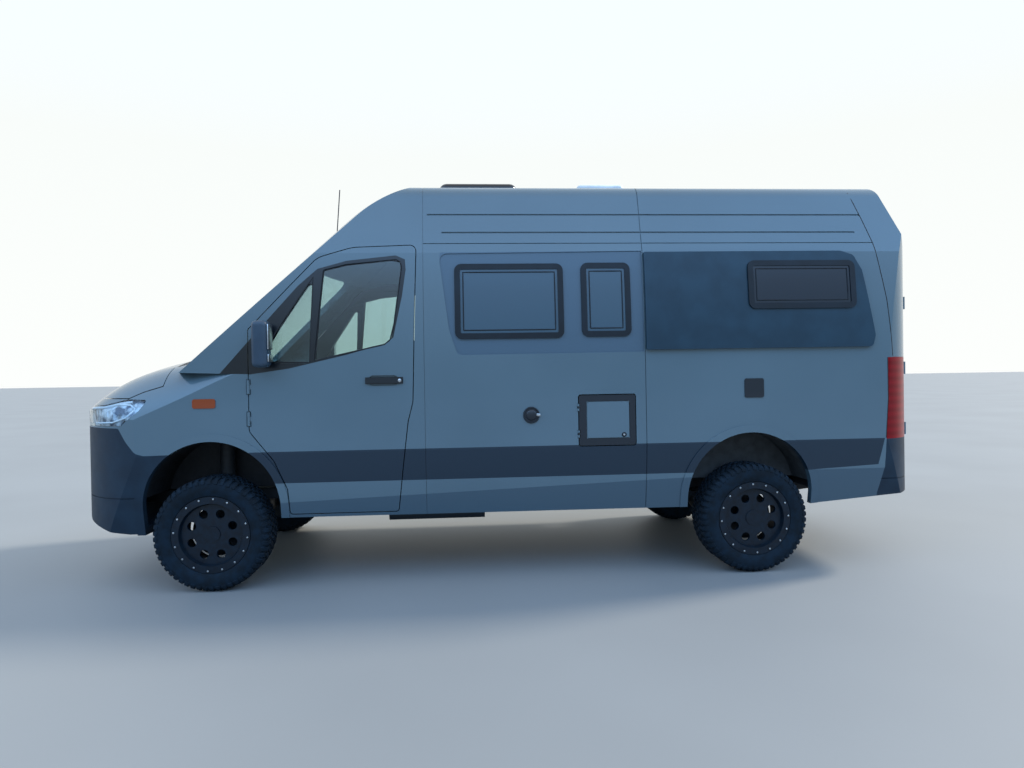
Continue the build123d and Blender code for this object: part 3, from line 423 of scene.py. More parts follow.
def acrylicGlass(name, tint, roughness):
    # deep-tinted acrylic: nearly black, with sharp reflections that waver a little
    material, tree, coords, shader = newMaterial(name)
    setShader(shader, Base_Color=linear(tint), Roughness=roughness, IOR=1.49)
    wave = grain(tree, coords, 400, 0.0)
    bumped(tree, shader, wave.outputs[0], 0.02, 2.0)
    return material


def clearGlass(name, tint, haze=0.02):
    # float glass: what is behind shows through, and the sky lies on it as a faint sheet
    material, tree, coords, shader = newMaterial(name)
    output = [n for n in tree.nodes if n.type == "OUTPUT_MATERIAL"][0]
    through = addNode(tree, "ShaderNodeBsdfTransparent", {"Color": linear(tint)})
    gloss = addNode(tree, "ShaderNodeBsdfGlossy", {"Roughness": 0.02})
    edge = addNode(tree, "ShaderNodeLayerWeight", {"Blend": 0.5})
    steep = addNode(tree, "ShaderNodeMath", {"operation": "POWER", "in1": 5.0}, in0=edge.outputs[1])
    share = addNode(
        tree, "ShaderNodeMath", {"operation": "MULTIPLY_ADD", "in1": 0.9, "in2": 0.04 + haze},
        in0=steep.outputs[0])
    both = addNode(
        tree, "ShaderNodeMixShader", None,
        Fac=share.outputs[0], in1=through.outputs[0], in2=gloss.outputs[0])
    tree.links.new(both.outputs[0], output.inputs[0])
    tree.nodes.remove(shader)
    return material


def satinPowderCoat(name):
    # powder coat on a cast alloy rim: satin black, with a fine peel
    material, tree, coords, shader = newMaterial(name)
    varied(tree, coords, shader, "#010d18", "#041724", 30)
    setShader(shader, Roughness=0.42, IOR=1.38)
    peel = grain(tree, coords, 1.5)
    bumped(tree, shader, peel.outputs[0], 0.08, 0.4)
    return material


def vulcanisedRubber(name, axleX, axleZ, ringMm=7):
    # vulcanised rubber: near black, dusty on the tread, with the mould's fine rings on the side wall
    material, tree, coords, shader = newMaterial(name)
    varied(tree, coords, shader, "#01101a", "#061c2a", 45)
    centred = addNode(
        tree, "ShaderNodeMapping", {"Location": (-axleX, 0, -axleZ), "Scale": (1, 0, 1)}, Vector=coords)
    radius = addNode(tree, "ShaderNodeVectorMath", {"operation": "LENGTH"}, in0=centred.outputs[0])
    rings = addNode(
        tree, "ShaderNodeMath", {"operation": "MULTIPLY", "in1": 2 * math.pi / (ringMm * mm)},
        in0=radius.outputs[1])
    wave = addNode(tree, "ShaderNodeMath", {"operation": "SINE"}, in0=rings.outputs[0])
    fine = grain(tree, coords, 3)
    height = addNode(
        tree, "ShaderNodeMath", {"operation": "MULTIPLY_ADD", "in1": 0.3},
        in0=wave.outputs[0], in2=fine.outputs[0])
    bumped(tree, shader, height.outputs[0], 0.35, 0.6)
    setShader(shader, Roughness=0.85, IOR=1.35)
    return material


def blackPaintedSteel(name, dark="#0e1216", light="#1b2126"):
    # chassis black on rolled steel: dull, with stone dust in the hollows
    material, tree, coords, shader = newMaterial(name)
    varied(tree, coords, shader, dark, light, 70)
    roughened(tree, coords, shader, 25, 0.5, 0.8)
    lumps = grain(tree, coords, 8)
    bumped(tree, shader, lumps.outputs[0], 0.2, 0.6)
    return material


def castIron(name):
    # sand-cast iron and aluminium housings: grey, with a sandy skin
    material, tree, coords, shader = newMaterial(name)
    varied(tree, coords, shader, "#3a3d40", "#5a5e61", 40)
    setShader(shader, Metallic=0.8, Roughness=0.6)
    sand = grain(tree, coords, 2.5)
    bumped(tree, shader, sand.outputs[0], 0.4, 0.5)
    return material


def zincSteel(name):
    # zinc-plated or stainless steel: bright, with brushing along its length
    material, tree, coords, shader = newMaterial(name)
    varied(tree, coords, shader, "#a8adb0", "#c9cdd0", 12)
    stretched = addNode(tree, "ShaderNodeMapping", {"Scale": (1, 30, 30)}, Vector=coords)
    lines = addNode(tree, "ShaderNodeTexNoise", {"Scale": 60.0}, Vector=stretched.outputs[0])
    bumped(tree, shader, lines.outputs[0], 0.1, 0.2)
    setShader(shader, Metallic=1.0, Roughness=0.28)
    return material


def wovenCloth(name, dark, light, threadMm=1.6):
    # flat-woven seat cloth: crossing threads, soft sheen at the edges
    material, tree, coords, shader = newMaterial(name)
    varied(tree, coords, shader, dark, light, 20)
    turn = 2 * math.pi / (2 * threadMm * mm)
    parts = addNode(tree, "ShaderNodeSeparateXYZ", None, Vector=coords)
    waves = []
    for index in range(3):
        scaled = addNode(
            tree, "ShaderNodeMath", {"operation": "MULTIPLY", "in1": turn}, in0=parts.outputs[index])
        waves.append(addNode(tree, "ShaderNodeMath", {"operation": "SINE"}, in0=scaled.outputs[0]).outputs[0])
    crossed = addNode(tree, "ShaderNodeMath", {"operation": "MULTIPLY"}, in0=waves[0], in1=waves[1])
    both = addNode(
        tree, "ShaderNodeMath", {"operation": "MULTIPLY_ADD"},
        in0=waves[1], in1=waves[2], in2=crossed.outputs[0])
    bumped(tree, shader, both.outputs[0], 0.4, 0.4)
    setShader(shader, Roughness=0.9, Sheen_Weight=0.3)
    return material


def laminateBoard(name):
    # laminated furniture board: pale, with long faint grain
    material, tree, coords, shader = newMaterial(name)
    stretched = addNode(tree, "ShaderNodeMapping", {"Scale": (1, 8, 12)}, Vector=coords)
    varied(tree, stretched.outputs[0], shader, "#a39a8a", "#c3bbad", 160)
    setShader(shader, Roughness=0.45)
    return material


def lampGlow(name, dark, light, roughness=0.12, ribMm=28):
    # coloured lamp plastic over ribbed reflectors: bright ribs in a glossy skin
    material, tree, coords, shader = newMaterial(name)
    waveUnit = 6.28  # the wave texture makes about this many bands in each unit of its scale
    ribs = addNode(
        tree, "ShaderNodeTexWave",
        {"Scale": 1 / (ribMm * mm) / waveUnit, "bands_direction": "Z", "Distortion": 0.0}, Vector=coords)
    mix = addNode(tree, "ShaderNodeMix", {"data_type": "RGBA"}, Factor=ribs.outputs[1])
    mix.inputs[6].default_value = linear(dark)
    mix.inputs[7].default_value = linear(light)
    tree.links.new(mix.outputs[2], shader.inputs["Base Color"])
    bumped(tree, shader, ribs.outputs[1], 0.1, 1.0)
    setShader(shader, Roughness=roughness, IOR=1.3)
    return material


# where the wheels are, in metres
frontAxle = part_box("tyre_front_left")
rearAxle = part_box("tyre_rear_left")
frontAxleX = (frontAxle[0].x + frontAxle[1].x) / 2
rearAxleX = (rearAxle[0].x + rearAxle[1].x) / 2
axleZ = (frontAxle[0].z + frontAxle[1].z) / 2
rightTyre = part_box("tyre_front_right")
tyreCentreY = (rightTyre[0].y + rightTyre[1].y) / 2

enamelPlain = coachEnamel("coachEnamel", [])
# the foot strip: painted shade that darkens the lower body of the sides
foot = (sideFootShade, 0, bodyPaint["foot"], 0.3)
band = (sideBand, 0, bodyPaint["band"], 0.45)
enamelBanded = coachEnamel("coachEnamelBanded", [foot, band])
enamelCab = coachEnamel("coachEnamelCab", [
    foot,
    band,
    (doorSurround, 0, bodyPaint["surround"], 0.3),
    (handlePlace, 0, bodyPaint["handle"], 0.35),
])
enamelLiving = coachEnamel("coachEnamelLiving", [
    foot,
    band,
    (windowZone, -1, bodyPaint["zone"], 0.38),
])
lockerEnamel = coachEnamel("coachEnamelLocker", [
    (lockerZone, 0, "#0b1721", 0.4),
    (lockerPanel, 0, bodyPaint["colour"], 0.28),
])
fittingAbs = coachEnamel("fittingAbs", [
    (fittingZone, 0, "#0c1720", 0.4),
    (indicatorPlace, 0, "#8c3a12", 0.15),
])
livingAcrylic = coachEnamel("livingAcrylic", [
    (allPanes, 0, "#081a28", 0.06),
    (forwardPanes, 0, "#3a5362", 0.06),
])
zoneEnamel = mouldedAbs("texturedSidePanel", "#183342", "#1e3b4b", 1.2, (0.28, 0.38), 0.1)
bumperAbs = mouldedAbs("bumperAbs", "#0c2130", "#122a3a")
trimAbs = mouldedAbs("trimAbs", "#071119", "#0c1923", 1.5, (0.4, 0.55), 0.1)
blackCoat = blackPaintedSteel("chassisBlack")
linerFelt = blackPaintedSteel("archLinerFelt", "#05090e", "#0b1118")
castMetal = castIron("castHousing")
brightSteel = zincSteel("zincPlatedSteel")
cabGlass = clearGlass("cabFloatGlass", "#e0eceb", 0.03)
tintedAcrylic = acrylicGlass("tintedAcrylic", "#0c141b", 0.06)
cabPlastic = mouldedAbs("dashboardFoam", "#1a2026", "#222930", 1.8)
liningCloth = wovenCloth("liningCloth", "#8e9ca2", "#9ca9ae", 2.4)
seatCloth = wovenCloth("seatCloth", "#23272b", "#34393e")
boardLaminate = laminateBoard("furnitureLaminate")
redLens = lampGlow("redLampLens", "#6e0008", "#80000f", 0.3, 28)
clearLens = lampGlow("clearLampLens", "#7f93a3", "#dfe8ee")
whiteAbs = mouldedAbs("roofWhiteAbs", "#c8cccd", "#dfe2e2", 3.0, (0.3, 0.4), 0.05)
smokeAcrylic = acrylicGlass("smokedAcrylicDome", "#10161b", 0.08)
floorVinyl = blackPaintedSteel("floorVinyl", "#2a2e31", "#3a3f42")
rimCoats = {
    "front": satinPowderCoat("rimCoatFront"),
    "rear": satinPowderCoat("rimCoatRear"),
}
rubbers = {
    "front": vulcanisedRubber("tyreRubberFront", frontAxleX, axleZ),
    "rear": vulcanisedRubber("tyreRubberRear", rearAxleX, axleZ),
}

finishes = {
    "aerial": trimAbs,
    "bonnet": enamelPlain,
    "cab_door_left": enamelCab,
    "cab_door_right": enamelCab,
    "cab_frame": enamelCab,
    "cab_glass_left": cabGlass,
    "cab_glass_right": cabGlass,
    "chassis_frame": blackCoat,
    "cowl": trimAbs,
    "dashboard": cabPlastic,
    "engine": castMetal,
    "exhaust": brightSteel,
    "floor": floorVinyl,
    "front_axle": blackCoat,
    "front_bumper": bumperAbs,
    "front_seats": seatCloth,
    "front_wings": enamelPlain,
    "fuel_tank": trimAbs,
    "furniture": boardLaminate,
    "gearbox_and_shaft": castMetal,
    "grille": trimAbs,
    "headlamps": clearLens,
    "high_roof": enamelPlain,
    "knuckle_left": castMetal,
    "knuckle_right": castMetal,
    "leaf_springs": blackCoat,
    "mirror_left": trimAbs,
    "mirror_right": trimAbs,
    "rear_axle": blackCoat,
    "rear_bumper": bumperAbs,
    "rear_door_left": enamelBanded,
    "rear_door_right": enamelBanded,
    "rear_frame": enamelPlain,
    "rear_glass_left": tintedAcrylic,
    "rear_glass_right": tintedAcrylic,
    "rear_lamps": redLens,
    "roof_light": smokeAcrylic,
    "roof_vent": whiteAbs,
    "service_door": lockerEnamel,
    "side_fittings": fittingAbs,
    "side_panels": enamelLiving,
    "sliding_door": enamelLiving,
    "wheelhouse_liners": linerFelt,
    "window_flares": zoneEnamel,
    "window_frames": trimAbs,
    "window_panes": livingAcrylic,
    "windscreen": cabGlass,
}
for end in ("front", "rear"):
    for side in ("left", "right"):
        finishes["tyre_" + end + "_" + side] = rubbers[end]
        finishes["rim_" + end + "_" + side] = rimCoats[end]


def dress(obj, material):
    obj.data.materials.clear()
    obj.data.materials.append(material)


for nodeName, obj in nodes.items():
    dress(obj, finishes[nodeName])
print("materials on", len(nodes), "nodes")


# tyres: carcass with shoulder lugs and four rows of tread blocks

tyreForm = {
    "lugCount": 54,
    "carcass": [
        (231.5, 104.5), (253, 105), (256, 119), (276, 129), (300, 133), (326, 131.5), (346, 127), (357, 118),
        (363, 100), (364.5, 60), (365, 0),
    ],
    "lug": [(352, 84), (374, 84), (374, 95), (367.5, 116), (354, 129), (336, 133.7), (334, 128), (350, 118)],
    "lugWidth": 27.0,
    "blockRows": [(-62, 34, 0.0), (-21, 32, 0.5), (21, 32, 0.0), (62, 34, 0.5)],
    "blockLength": 27.0,
    "blockTop": 373.5,
    "blockFoot": 360.0,
    "blockTurn": 0.3,
    "lugBevel": 2.5,
    "blockBevel": 2.0,
    "steps": 96,
}


def makeTyre():
    # one tyre about the origin, with its axle along Y
    carcass = tyreForm["carcass"]
    points = [(0, y * mm, r * mm) for r, y in carcass]
    points += [(0, -y * mm, r * mm) for r, y in reversed(carcass[:-1])]
    obj = profileLine(points, "carcass")
    spunRing((0, 0, 0), (0, 1, 0), tyreForm["steps"])
    parts = [obj]
    half = tyreForm["lugWidth"] * mm / 2
    for side in (-1, 1):
        rows = [(-half, side * y * mm, r * mm) for r, y in tyreForm["lug"]]
        lug = profileLine(rows, "lug")
        closeAndFill()
        bpy.ops.mesh.extrude_region_move(TRANSFORM_OT_translate={"value": (2 * half, 0, 0)})
        bpy.ops.mesh.select_all(action="SELECT")
        bpy.ops.mesh.normals_make_consistent(inside=False)
        objectMode()
        modify(
            lug, "BEVEL", width=tyreForm["lugBevel"] * mm, segments=1, limit_method="ANGLE",
            angle_limit=math.radians(40))
        repeatedRound(lug, tyreForm["lugCount"], (0, 0, 0), (0, 1, 0))
        parts.append(lug)
    top, foot = tyreForm["blockTop"] * mm, tyreForm["blockFoot"] * mm
    for across, width, shift in tyreForm["blockRows"]:
        deselectAll()
        bpy.ops.mesh.primitive_cube_add(size=1, location=(0, across * mm, (top + foot) / 2))
        block = bpy.context.object
        block.scale = (tyreForm["blockLength"] * mm, width * mm, top - foot)
        settle(block)
        modify(block, "BEVEL", width=tyreForm["blockBevel"] * mm, segments=1)
        activate(block)
        editMode()
        bpy.ops.mesh.select_all(action="SELECT")
        turn = shift * 2 * math.pi / tyreForm["lugCount"]
        bpy.ops.transform.rotate(value=turn, orient_axis="Y", center_override=(0, 0, 0))
        bpy.ops.transform.rotate(
            value=tyreForm["blockTurn"], orient_axis="Z", center_override=(0, across * mm, top))
        objectMode()
        repeatedRound(block, tyreForm["lugCount"], (0, 0, 0), (0, 1, 0))
        parts.append(block)
    whole = joined(parts, "tyreMaster")
    smooth(whole, 40)
    return whole


# bolts round the rim's lip

rimForm = {
    "boltCount": 16,
    "boltCircle": 236.7,
    "boltRadius": 6.2,
    "boltHeight": 5.0,
    "boltBevel": 1.6,
    # how far the ring of bolts is turned in the photograph, in degrees
    "phases": {"front": -5.25, "rear": 2.98},
}


def makeBolts():
    # the ring of bolts about the origin, with its axle along Y
    height = rimForm["boltHeight"] * mm
    deselectAll()
    bpy.ops.mesh.primitive_cylinder_add(
        vertices=12, radius=rimForm["boltRadius"] * mm, depth=height,
        location=(0, height / 2, rimForm["boltCircle"] * mm), rotation=(math.radians(90), 0, 0))
    bolts = settle(bpy.context.object)
    modify(bolts, "BEVEL", width=rimForm["boltBevel"] * mm, segments=2, limit_method="ANGLE")
    repeatedRound(bolts, rimForm["boltCount"], (0, 0, 0), (0, 1, 0))
    smooth(bolts, 40)
    return nameIt(bolts, "boltMaster")


tyreMaster = makeTyre()
boltMaster = makeBolts()
for end, axleX in (("front", frontAxleX), ("rear", rearAxleX)):
    for side, sign in (("left", -1), ("right", 1)):
        corner = end + "_" + side
        tyre = copied(tyreMaster, "tyreTread_" + corner)
        tyre.location = (axleX, sign * tyreCentreY, axleZ)
        settle(tyre)
        place(tyre, "wheel_" + corner, rubbers[end])
        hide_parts("tyre_" + corner)
        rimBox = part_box("rim_" + corner)
        face = rimBox[0].y if sign < 0 else rimBox[1].y
        bolts = copied(boltMaster, "lipBolts_" + corner)
        bolts.rotation_euler = (0, math.radians(rimForm["phases"][end]), math.pi if sign < 0 else 0)
        bolts.location = (axleX, face, axleZ)
        settle(bolts)
        place(bolts, "wheel_" + corner, brightSteel)
for master in (tyreMaster, boltMaster):
    bpy.data.objects.remove(master)
print("wheels dressed")


# rubber seals round the cab glass, drawn as lines in side view

cabGlassLines = {
    "main": [
        (-1209, 2108), (-1060, 2144), (-760, 2176), (-704, 2166), (-697, 2120), (-749, 1745), (-776, 1640),
        (-812, 1609), (-1270, 1508), (-1209, 2108),
    ],
    "quarter": [(-1634, 1503), (-1499, 1732), (-1278, 2062), (-1304, 1495), (-1634, 1503)],
    "radius": 5.0,
    "sink": 2.0,
}

sealRubber = blackPaintedSteel("sealRubber", "#05080b", "#0a0e12")
for side, sign in (("left", -1), ("right", 1)):
    names = ["cab_door_" + side, "cab_glass_" + side]
    parts = []
    for key in ("main", "quarter"):
        points = sideLine(names, cabGlassLines[key], sign, 40, -cabGlassLines["sink"])
        parts.append(tubeAlong(points, cabGlassLines["radius"], "seal" + key, 2))
    place(joined(parts, "cabGlassSeal_" + side), "cab_door_" + side, sealRubber)
print("cab glass seals")


# headlamps: a clear lens over a reflector case and two light guides

lampForm = {
    "centre": (-2650, 860, 1180),
    "shrink": (0.995, 0.995, 0.97),
    "caseShift": (22.5, 19.5),
    "guideSink": 26.0,
    "stripLine": [(-2885, 1200), (-2800, 1212), (-2671, 1219), (-2560, 1243), (-2470, 1253)],
    "hookLine": [(-2560, 1238), (-2480, 1232), (-2440, 1205), (-2500, 1150), (-2600, 1120), (-2760, 1112)],
    "stripRadius": 9.0,
    "hookRadius": 6.0,
}


def oneLamp(sign):
    # the solid of one side's lamp, copied from the node that holds both
    skin = copied(nodes["headlamps"], "lampSkin")
    activate(skin)
    editMode()
    bpy.ops.mesh.select_all(action="SELECT")
    bpy.ops.mesh.remove_doubles(threshold=weld)
    bpy.ops.mesh.select_all(action="DESELECT")
    objectMode()
    for polygon in skin.data.polygons:
        polygon.select = sign * polygon.center.y < 0
    editMode("FACE")
    bpy.ops.mesh.delete(type="FACE")
    objectMode()
    return skin


def reflectorCase(name):
    # vacuum-coated reflector bowls behind the lens: bright metal with dark steps between
    material, tree, coords, shader = newMaterial(name)
    varied(tree, coords, shader, "#33465a", "#cfdbe3", 70, 0.42, 0.6)
    steps = addNode(tree, "ShaderNodeTexVoronoi", {"Scale": 1 / (45 * mm)}, Vector=coords)
    bumped(tree, shader, steps.outputs[0], 0.6, 12.0)
    setShader(shader, Metallic=0.35, Roughness=0.3)
    return material


ledLine = lampGlow("ledLightGuide", "#cfe0ea", "#f4fafc", 0.1)
lampCase = reflectorCase("lampReflectorCase")
lampLens = clearGlass("lampLensPolycarbonate", "#e6eef2")
for side, sign in (("left", -1), ("right", 1)):
    outer = oneLamp(sign)
    case = copied(outer, "lampCase_" + side)
    x, y, z = lampForm["centre"]
    centre = Vector((x, sign * y, z)) * mm
    back, inward = lampForm["caseShift"]
    for obj, shift in ((outer, (0, 0, 0)), (case, (back * mm, -sign * inward * mm, 0))):
        activate(obj)
        editMode("FACE")
        bpy.ops.mesh.select_all(action="SELECT")
        bpy.ops.transform.translate(value=shift)
        bpy.ops.transform.resize(value=lampForm["shrink"], center_override=centre)
        objectMode()
    nameIt(outer, "lampLens_" + side)
    place(outer, "body", lampLens)
    place(case, "body", lampCase)
    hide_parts("headlamps")
    parts = []
    for key, radius in (("stripLine", "stripRadius"), ("hookLine", "hookRadius")):
        points = sideLine(["headlamps"], lampForm[key], sign, 30, -lampForm["guideSink"])
        parts.append(tubeAlong(points, lampForm[radius], "guide", 3))
    place(joined(parts, "lampLightGuide_" + side), "body", ledLine)
print("headlamps")


# wipers: arms with their blades on the windscreen

wiperForm = {
    "roots": [(-2195, -330), (-2120, 560)],
    "tips": [(-2035, 560), (-2060, -260)],
    "armRadius": 7.0,
    "bladeRadius": 6.0,
    "bladeDrop": 4.0,
    "stand": 12.0,
    "steps": 8,
}


def screenPoint(x, y):
    # a point just off the windscreen, which leans back by about 45 degrees
    hit = surfaceAt(["windscreen", "cab_frame", "cowl", "bonnet"], (x, y, 3200), (0, 0, -1))
    out = wiperForm["stand"] * 0.7
    return (hit + Vector((-out, 0, out))) * mm


for index, (root, tip) in enumerate(zip(wiperForm["roots"], wiperForm["tips"])):
    shares = [step / wiperForm["steps"] for step in range(wiperForm["steps"] + 1)]
    line = [screenPoint(*(a + (b - a) * share for a, b in zip(root, tip))) for share in shares]
    drop = Vector((0, 0, wiperForm["bladeDrop"] * mm))
    arm = tubeAlong([tuple(p) for p in line[:6]], wiperForm["armRadius"], "arm", 3)
    blade = tubeAlong([tuple(p - drop) for p in line[2:]], wiperForm["bladeRadius"], "blade", 2)
    place(joined([arm, blade], "wiper_" + str(index)), "body", trimAbs)
print("wipers")


# mirrors: rounded housings with two glasses on the rear face

mirrorForm = {
    "mainGlass": (8, 96, 160),
    "wideGlass": (8, 92, 48),
    "x": -1529.0,
    "y": 1104.0,
    "mainZ": 1660.0,
    "wideZ": 1524.0,
    "voxel": 6.0,
}
mirrorGlass = zincSteel("mirrorGlass")
mirrorAbs = mouldedAbs("mirrorHousingAbs", "#2c3d4c", "#354858", 1.2, (0.3, 0.42), 0.08)
for side, sign in (("left", -1), ("right", 1)):
    y = sign * mirrorForm["y"]
    housing = copied(nodes["mirror_" + side], "mirrorHousing_" + side)
    modify(housing, "REMESH", mode="VOXEL", voxel_size=mirrorForm["voxel"] * mm)
    modify(housing, "SMOOTH", factor=0.6, iterations=14)
    smooth(housing, 60)
    place(housing, "cab_door_" + side, mirrorAbs)
    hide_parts("mirror_" + side)
    parts = [
        roundedBox(mirrorForm[key + "Glass"], (mirrorForm["x"], y, mirrorForm[key + "Z"]), key, 3)
        for key in ("main", "wide")
    ]
    place(joined(parts, "mirrorGlass_" + side), "cab_door_" + side, mirrorGlass)
print("mirrors")


# locks and small bright parts on the side, each turned from rows of radius and height

smallForm = {
    "doorLock": (-716.0, 1368.0),
    "doorLockRows": [(0, 1.6), (9, 1.6), (11, 0.6), (11, -3)],
    "lockerLock": (792.0, 975.0),
    "lockerLockRows": [(0, 4), (13, 4), (15, 3), (17, 0), (17, -3)],
    "barrelRows": [(0, 6), (6, 6), (7, 5), (7, 0)],
    "inlet": (160.0, 1120.0),
    "inletRows": [(0, 12), (28, 12), (34, 9), (38, 3), (44, 3), (47, 6), (52, 6), (55, 2), (56, -2)],
    "catch": (26, 10, 18),
    "catchPlace": (206, -1020, 1121),
}


def sideDisc(nodeName, spot, sign, rows, name, steps=32):
    x, z = spot
    hit = surfaceAt([nodeName], (x, sign * outsideY, z), (0, -sign, 0))
    return lathed(rows, (x, hit.y, z), (0, sign, 0), name, steps)


for sign, side in ((-1, "left"), (1, "right")):
    door = "cab_door_" + side
    lock = sideDisc(door, smallForm["doorLock"], sign, smallForm["doorLockRows"], "doorLock_" + side)
    place(lock, door, brightSteel)
lockerSpot = smallForm["lockerLock"]
lock = sideDisc("service_door", lockerSpot, -1, smallForm["lockerLockRows"], "lockerLock")
place(lock, "service_door", trimAbs)
barrel = sideDisc("service_door", lockerSpot, -1, smallForm["barrelRows"], "lockerLockBarrel")
place(barrel, "service_door", brightSteel)
lid = sideDisc("side_fittings", smallForm["inlet"], -1, smallForm["inletRows"], "inletLid", 64)
place(lid, "body", fittingAbs)
catch = roundedBox(smallForm["catch"], smallForm["catchPlace"], "inletLidCatch", 3)
place(catch, "body", brightSteel)
print("small fittings")


# thin frames on the living windows' acrylic, left side

innerFrames = {
    "windows": [(-344, 393, 1638, 2147), (515, 855, 1644, 2151), (1672, 2438, 1822, 2157)],
    "inset": 58.0,
    "radius": 4.0,
}
for index, (xLow, xHigh, zLow, zHigh) in enumerate(innerFrames["windows"]):
    inset = innerFrames["inset"]
    corners = [
        (xLow + inset, zLow + inset), (xLow + inset, zHigh - inset), (xHigh - inset, zHigh - inset),
        (xHigh - inset, zLow + inset), (xLow + inset, zLow + inset)]
    points = sideLine(["window_panes"], corners, -1, 50, 1.0)
    rim = tubeAlong(points, innerFrames["radius"], "innerFrame_" + str(index), 2)
    place(rim, "body", trimAbs)
print("inner frames")


# dark sealed seams at the rear pillars and in front of the tail lamps

seamLines = {
    "pillar": [(2494, 2668), (2560, 2470), (2613, 2288), (2679, 1883), (2713, 1486)],
    "lampFront": [(2671, 1474), (2670, 1184), (2650, 912)],
    "radius": 3.5,
    "sink": 1.5,
}
sideNodes = ["high_roof", "side_panels", "rear_frame", "sliding_door", "cab_frame", "rear_lamps"]
for side, sign in (("left", -1), ("right", 1)):
    for key in ("pillar", "lampFront"):
        points = sideLine(sideNodes, seamLines[key], sign, 60, -seamLines["sink"])
        seam = tubeAlong(points, seamLines["radius"], key + "Seam_" + side, 2)
        place(seam, "body", sealRubber)
print("seams")


# rear end: bare plate with its lamps, handle, third brake light and reflectors

# sizes along x, y and z, then the place across and up, then how far the middle stands off the surface
rearForm = {
    "plate": ((4, 520, 112), (-325, 1130), 0.5),
    "handle": ((36, 150, 26), (-82, 1020), -14),
    "handleRoot": (-22, 1020),
    "plateLamp": ((22, 60, 14), (-325, 1212), -6),
    "plateLampApart": 90,
    "brakeLight": ((24, 420, 20), (0, 2580), -6),
    "reflector": ((6, 110, 26), (-700, 590), -1),
}
tailNodes = ["rear_door_left", "rear_door_right", "rear_frame", "rear_bumper", "rear_lamps", "rear_glass_left"]


def tailX(y, z):
    return surfaceAt(tailNodes, (3400, y, z), (-1, 0, 0)).x


size, (y, z), stand = rearForm["plate"]
plate = roundedBox(size, (tailX(y, z) + stand, y, z), "barePlate", 1.5, 2, (0, -1.5, 0))
place(plate, "rear_door_left", whiteAbs)
size, (y, z), stand = rearForm["handle"]
handle = roundedBox(size, (tailX(*rearForm["handleRoot"]) + stand, y, z), "rearDoorHandle", 8, 3)
place(handle, "rear_door_left", trimAbs)
size, (y, z), stand = rearForm["plateLamp"]
parts = []
for across in (y - rearForm["plateLampApart"], y + rearForm["plateLampApart"]):
    parts.append(roundedBox(size, (tailX(across, z) + stand, across, z), "plateLamp", 4))
place(joined(parts, "plateLamps"), "rear_door_left", trimAbs)
size, (y, z), stand = rearForm["brakeLight"]
brakeLight = roundedBox(size, (tailX(y, z) + stand, y, z), "thirdBrakeLight", 5, 3, (0, -28, 0))
place(brakeLight, "body", redLens)
size, (y, z), stand = rearForm["reflector"]
parts = [roundedBox(size, (tailX(sign * y, z) + stand, sign * y, z), "reflector", 2) for sign in (-1, 1)]
place(joined(parts, "rearReflectors"), "body", redLens)
print("rear end")


# cab inside: steering wheel grip with its cover, instrument hood and screen

cabForm = {
    "wheelPlace": (-1318, -450, 1330),
    "wheelTilt": 60,
    "gripRadius": 17.0,
    "ringRadius": 188.0,
    # size, place, rounding and tilt
    "airbagCover": ((60, 130, 150), (-1326, -450, 1322), 22, 4, (0, 60, 0)),
    "instrumentHood": ((150, 330, 110), (-1450, -450, 1400), 26, 4, (0, 12, 0)),
    "centreScreen": ((18, 270, 150), (-1405, 0, 1400), 8, 3, (0, -12, 0)),
}


def makeWheelGrip():
    deselectAll()
    bpy.ops.mesh.primitive_torus_add(
        major_radius=cabForm["ringRadius"] * mm, minor_radius=cabForm["gripRadius"] * mm, major_segments=64,
        minor_segments=16)
    grip = bpy.context.object
    grip.rotation_euler = (0, math.radians(cabForm["wheelTilt"]), 0)
    grip.location = [v * mm for v in cabForm["wheelPlace"]]
    settle(grip)
    smooth(grip, 60)
    return nameIt(grip, "steeringWheelGrip")


leatherGrip = mouldedAbs("stitchedLeatherGrip", "#15181b", "#1e2226", 1.2, (0.45, 0.6), 0.3)
place(makeWheelGrip(), "body", leatherGrip)
for key, material, slot in (
        ("airbagCover", cabPlastic, "cab_plastic"), ("instrumentHood", cabPlastic, "cab_plastic"),
        ("centreScreen", tintedAcrylic, "dark_glass")):
    size, spot, bevel, segments, tilt = cabForm[key]
    place(roundedBox(size, spot, key, bevel, segments, tilt), "body", material)
print("cab inside")


# linings: the inner skins of cab, roof and doors, moved in a little and dressed in cloth or plastic

liningForm = {
    "lift": 5.0,
    # a face belongs to the lining when it leans towards the cabin's middle line by more than this
    "lean": 0.25,
    "middleZ": 1500,
}


def innerLining(nodeName, name, body, lowZ, material):
    skin = copied(nodes[nodeName], name)
    for polygon in skin.data.polygons:
        aim = Vector((0, -polygon.center.y, liningForm["middleZ"] * mm - polygon.center.z))
        inward = aim.length > 0 and polygon.normal.dot(aim.normalized()) > liningForm["lean"]
        polygon.select = not (inward and polygon.center.z > lowZ * mm)
    activate(skin)
    # face mode comes before edit mode, which would otherwise take the choice from the vertices
    bpy.context.tool_settings.mesh_select_mode = (False, False, True)
    editMode("FACE")
    bpy.ops.mesh.delete(type="FACE")
    bpy.ops.mesh.select_all(action="SELECT")
    bpy.ops.mesh.remove_doubles(threshold=weld)
    objectMode()
    modify(skin, "DISPLACE", strength=liningForm["lift"] * mm, mid_level=0.0)
    place(skin, body, material)


innerLining("cab_frame", "headliner", "body", 1250, liningCloth)
innerLining("high_roof", "roofLining", "body", 1900, liningCloth)
for side in ("left", "right"):
    innerLining("cab_door_" + side, "doorTrim_" + side, "cab_door_" + side, 700, cabPlastic)
print("linings")


# seats: cushions, backs and headrests as crowned pads

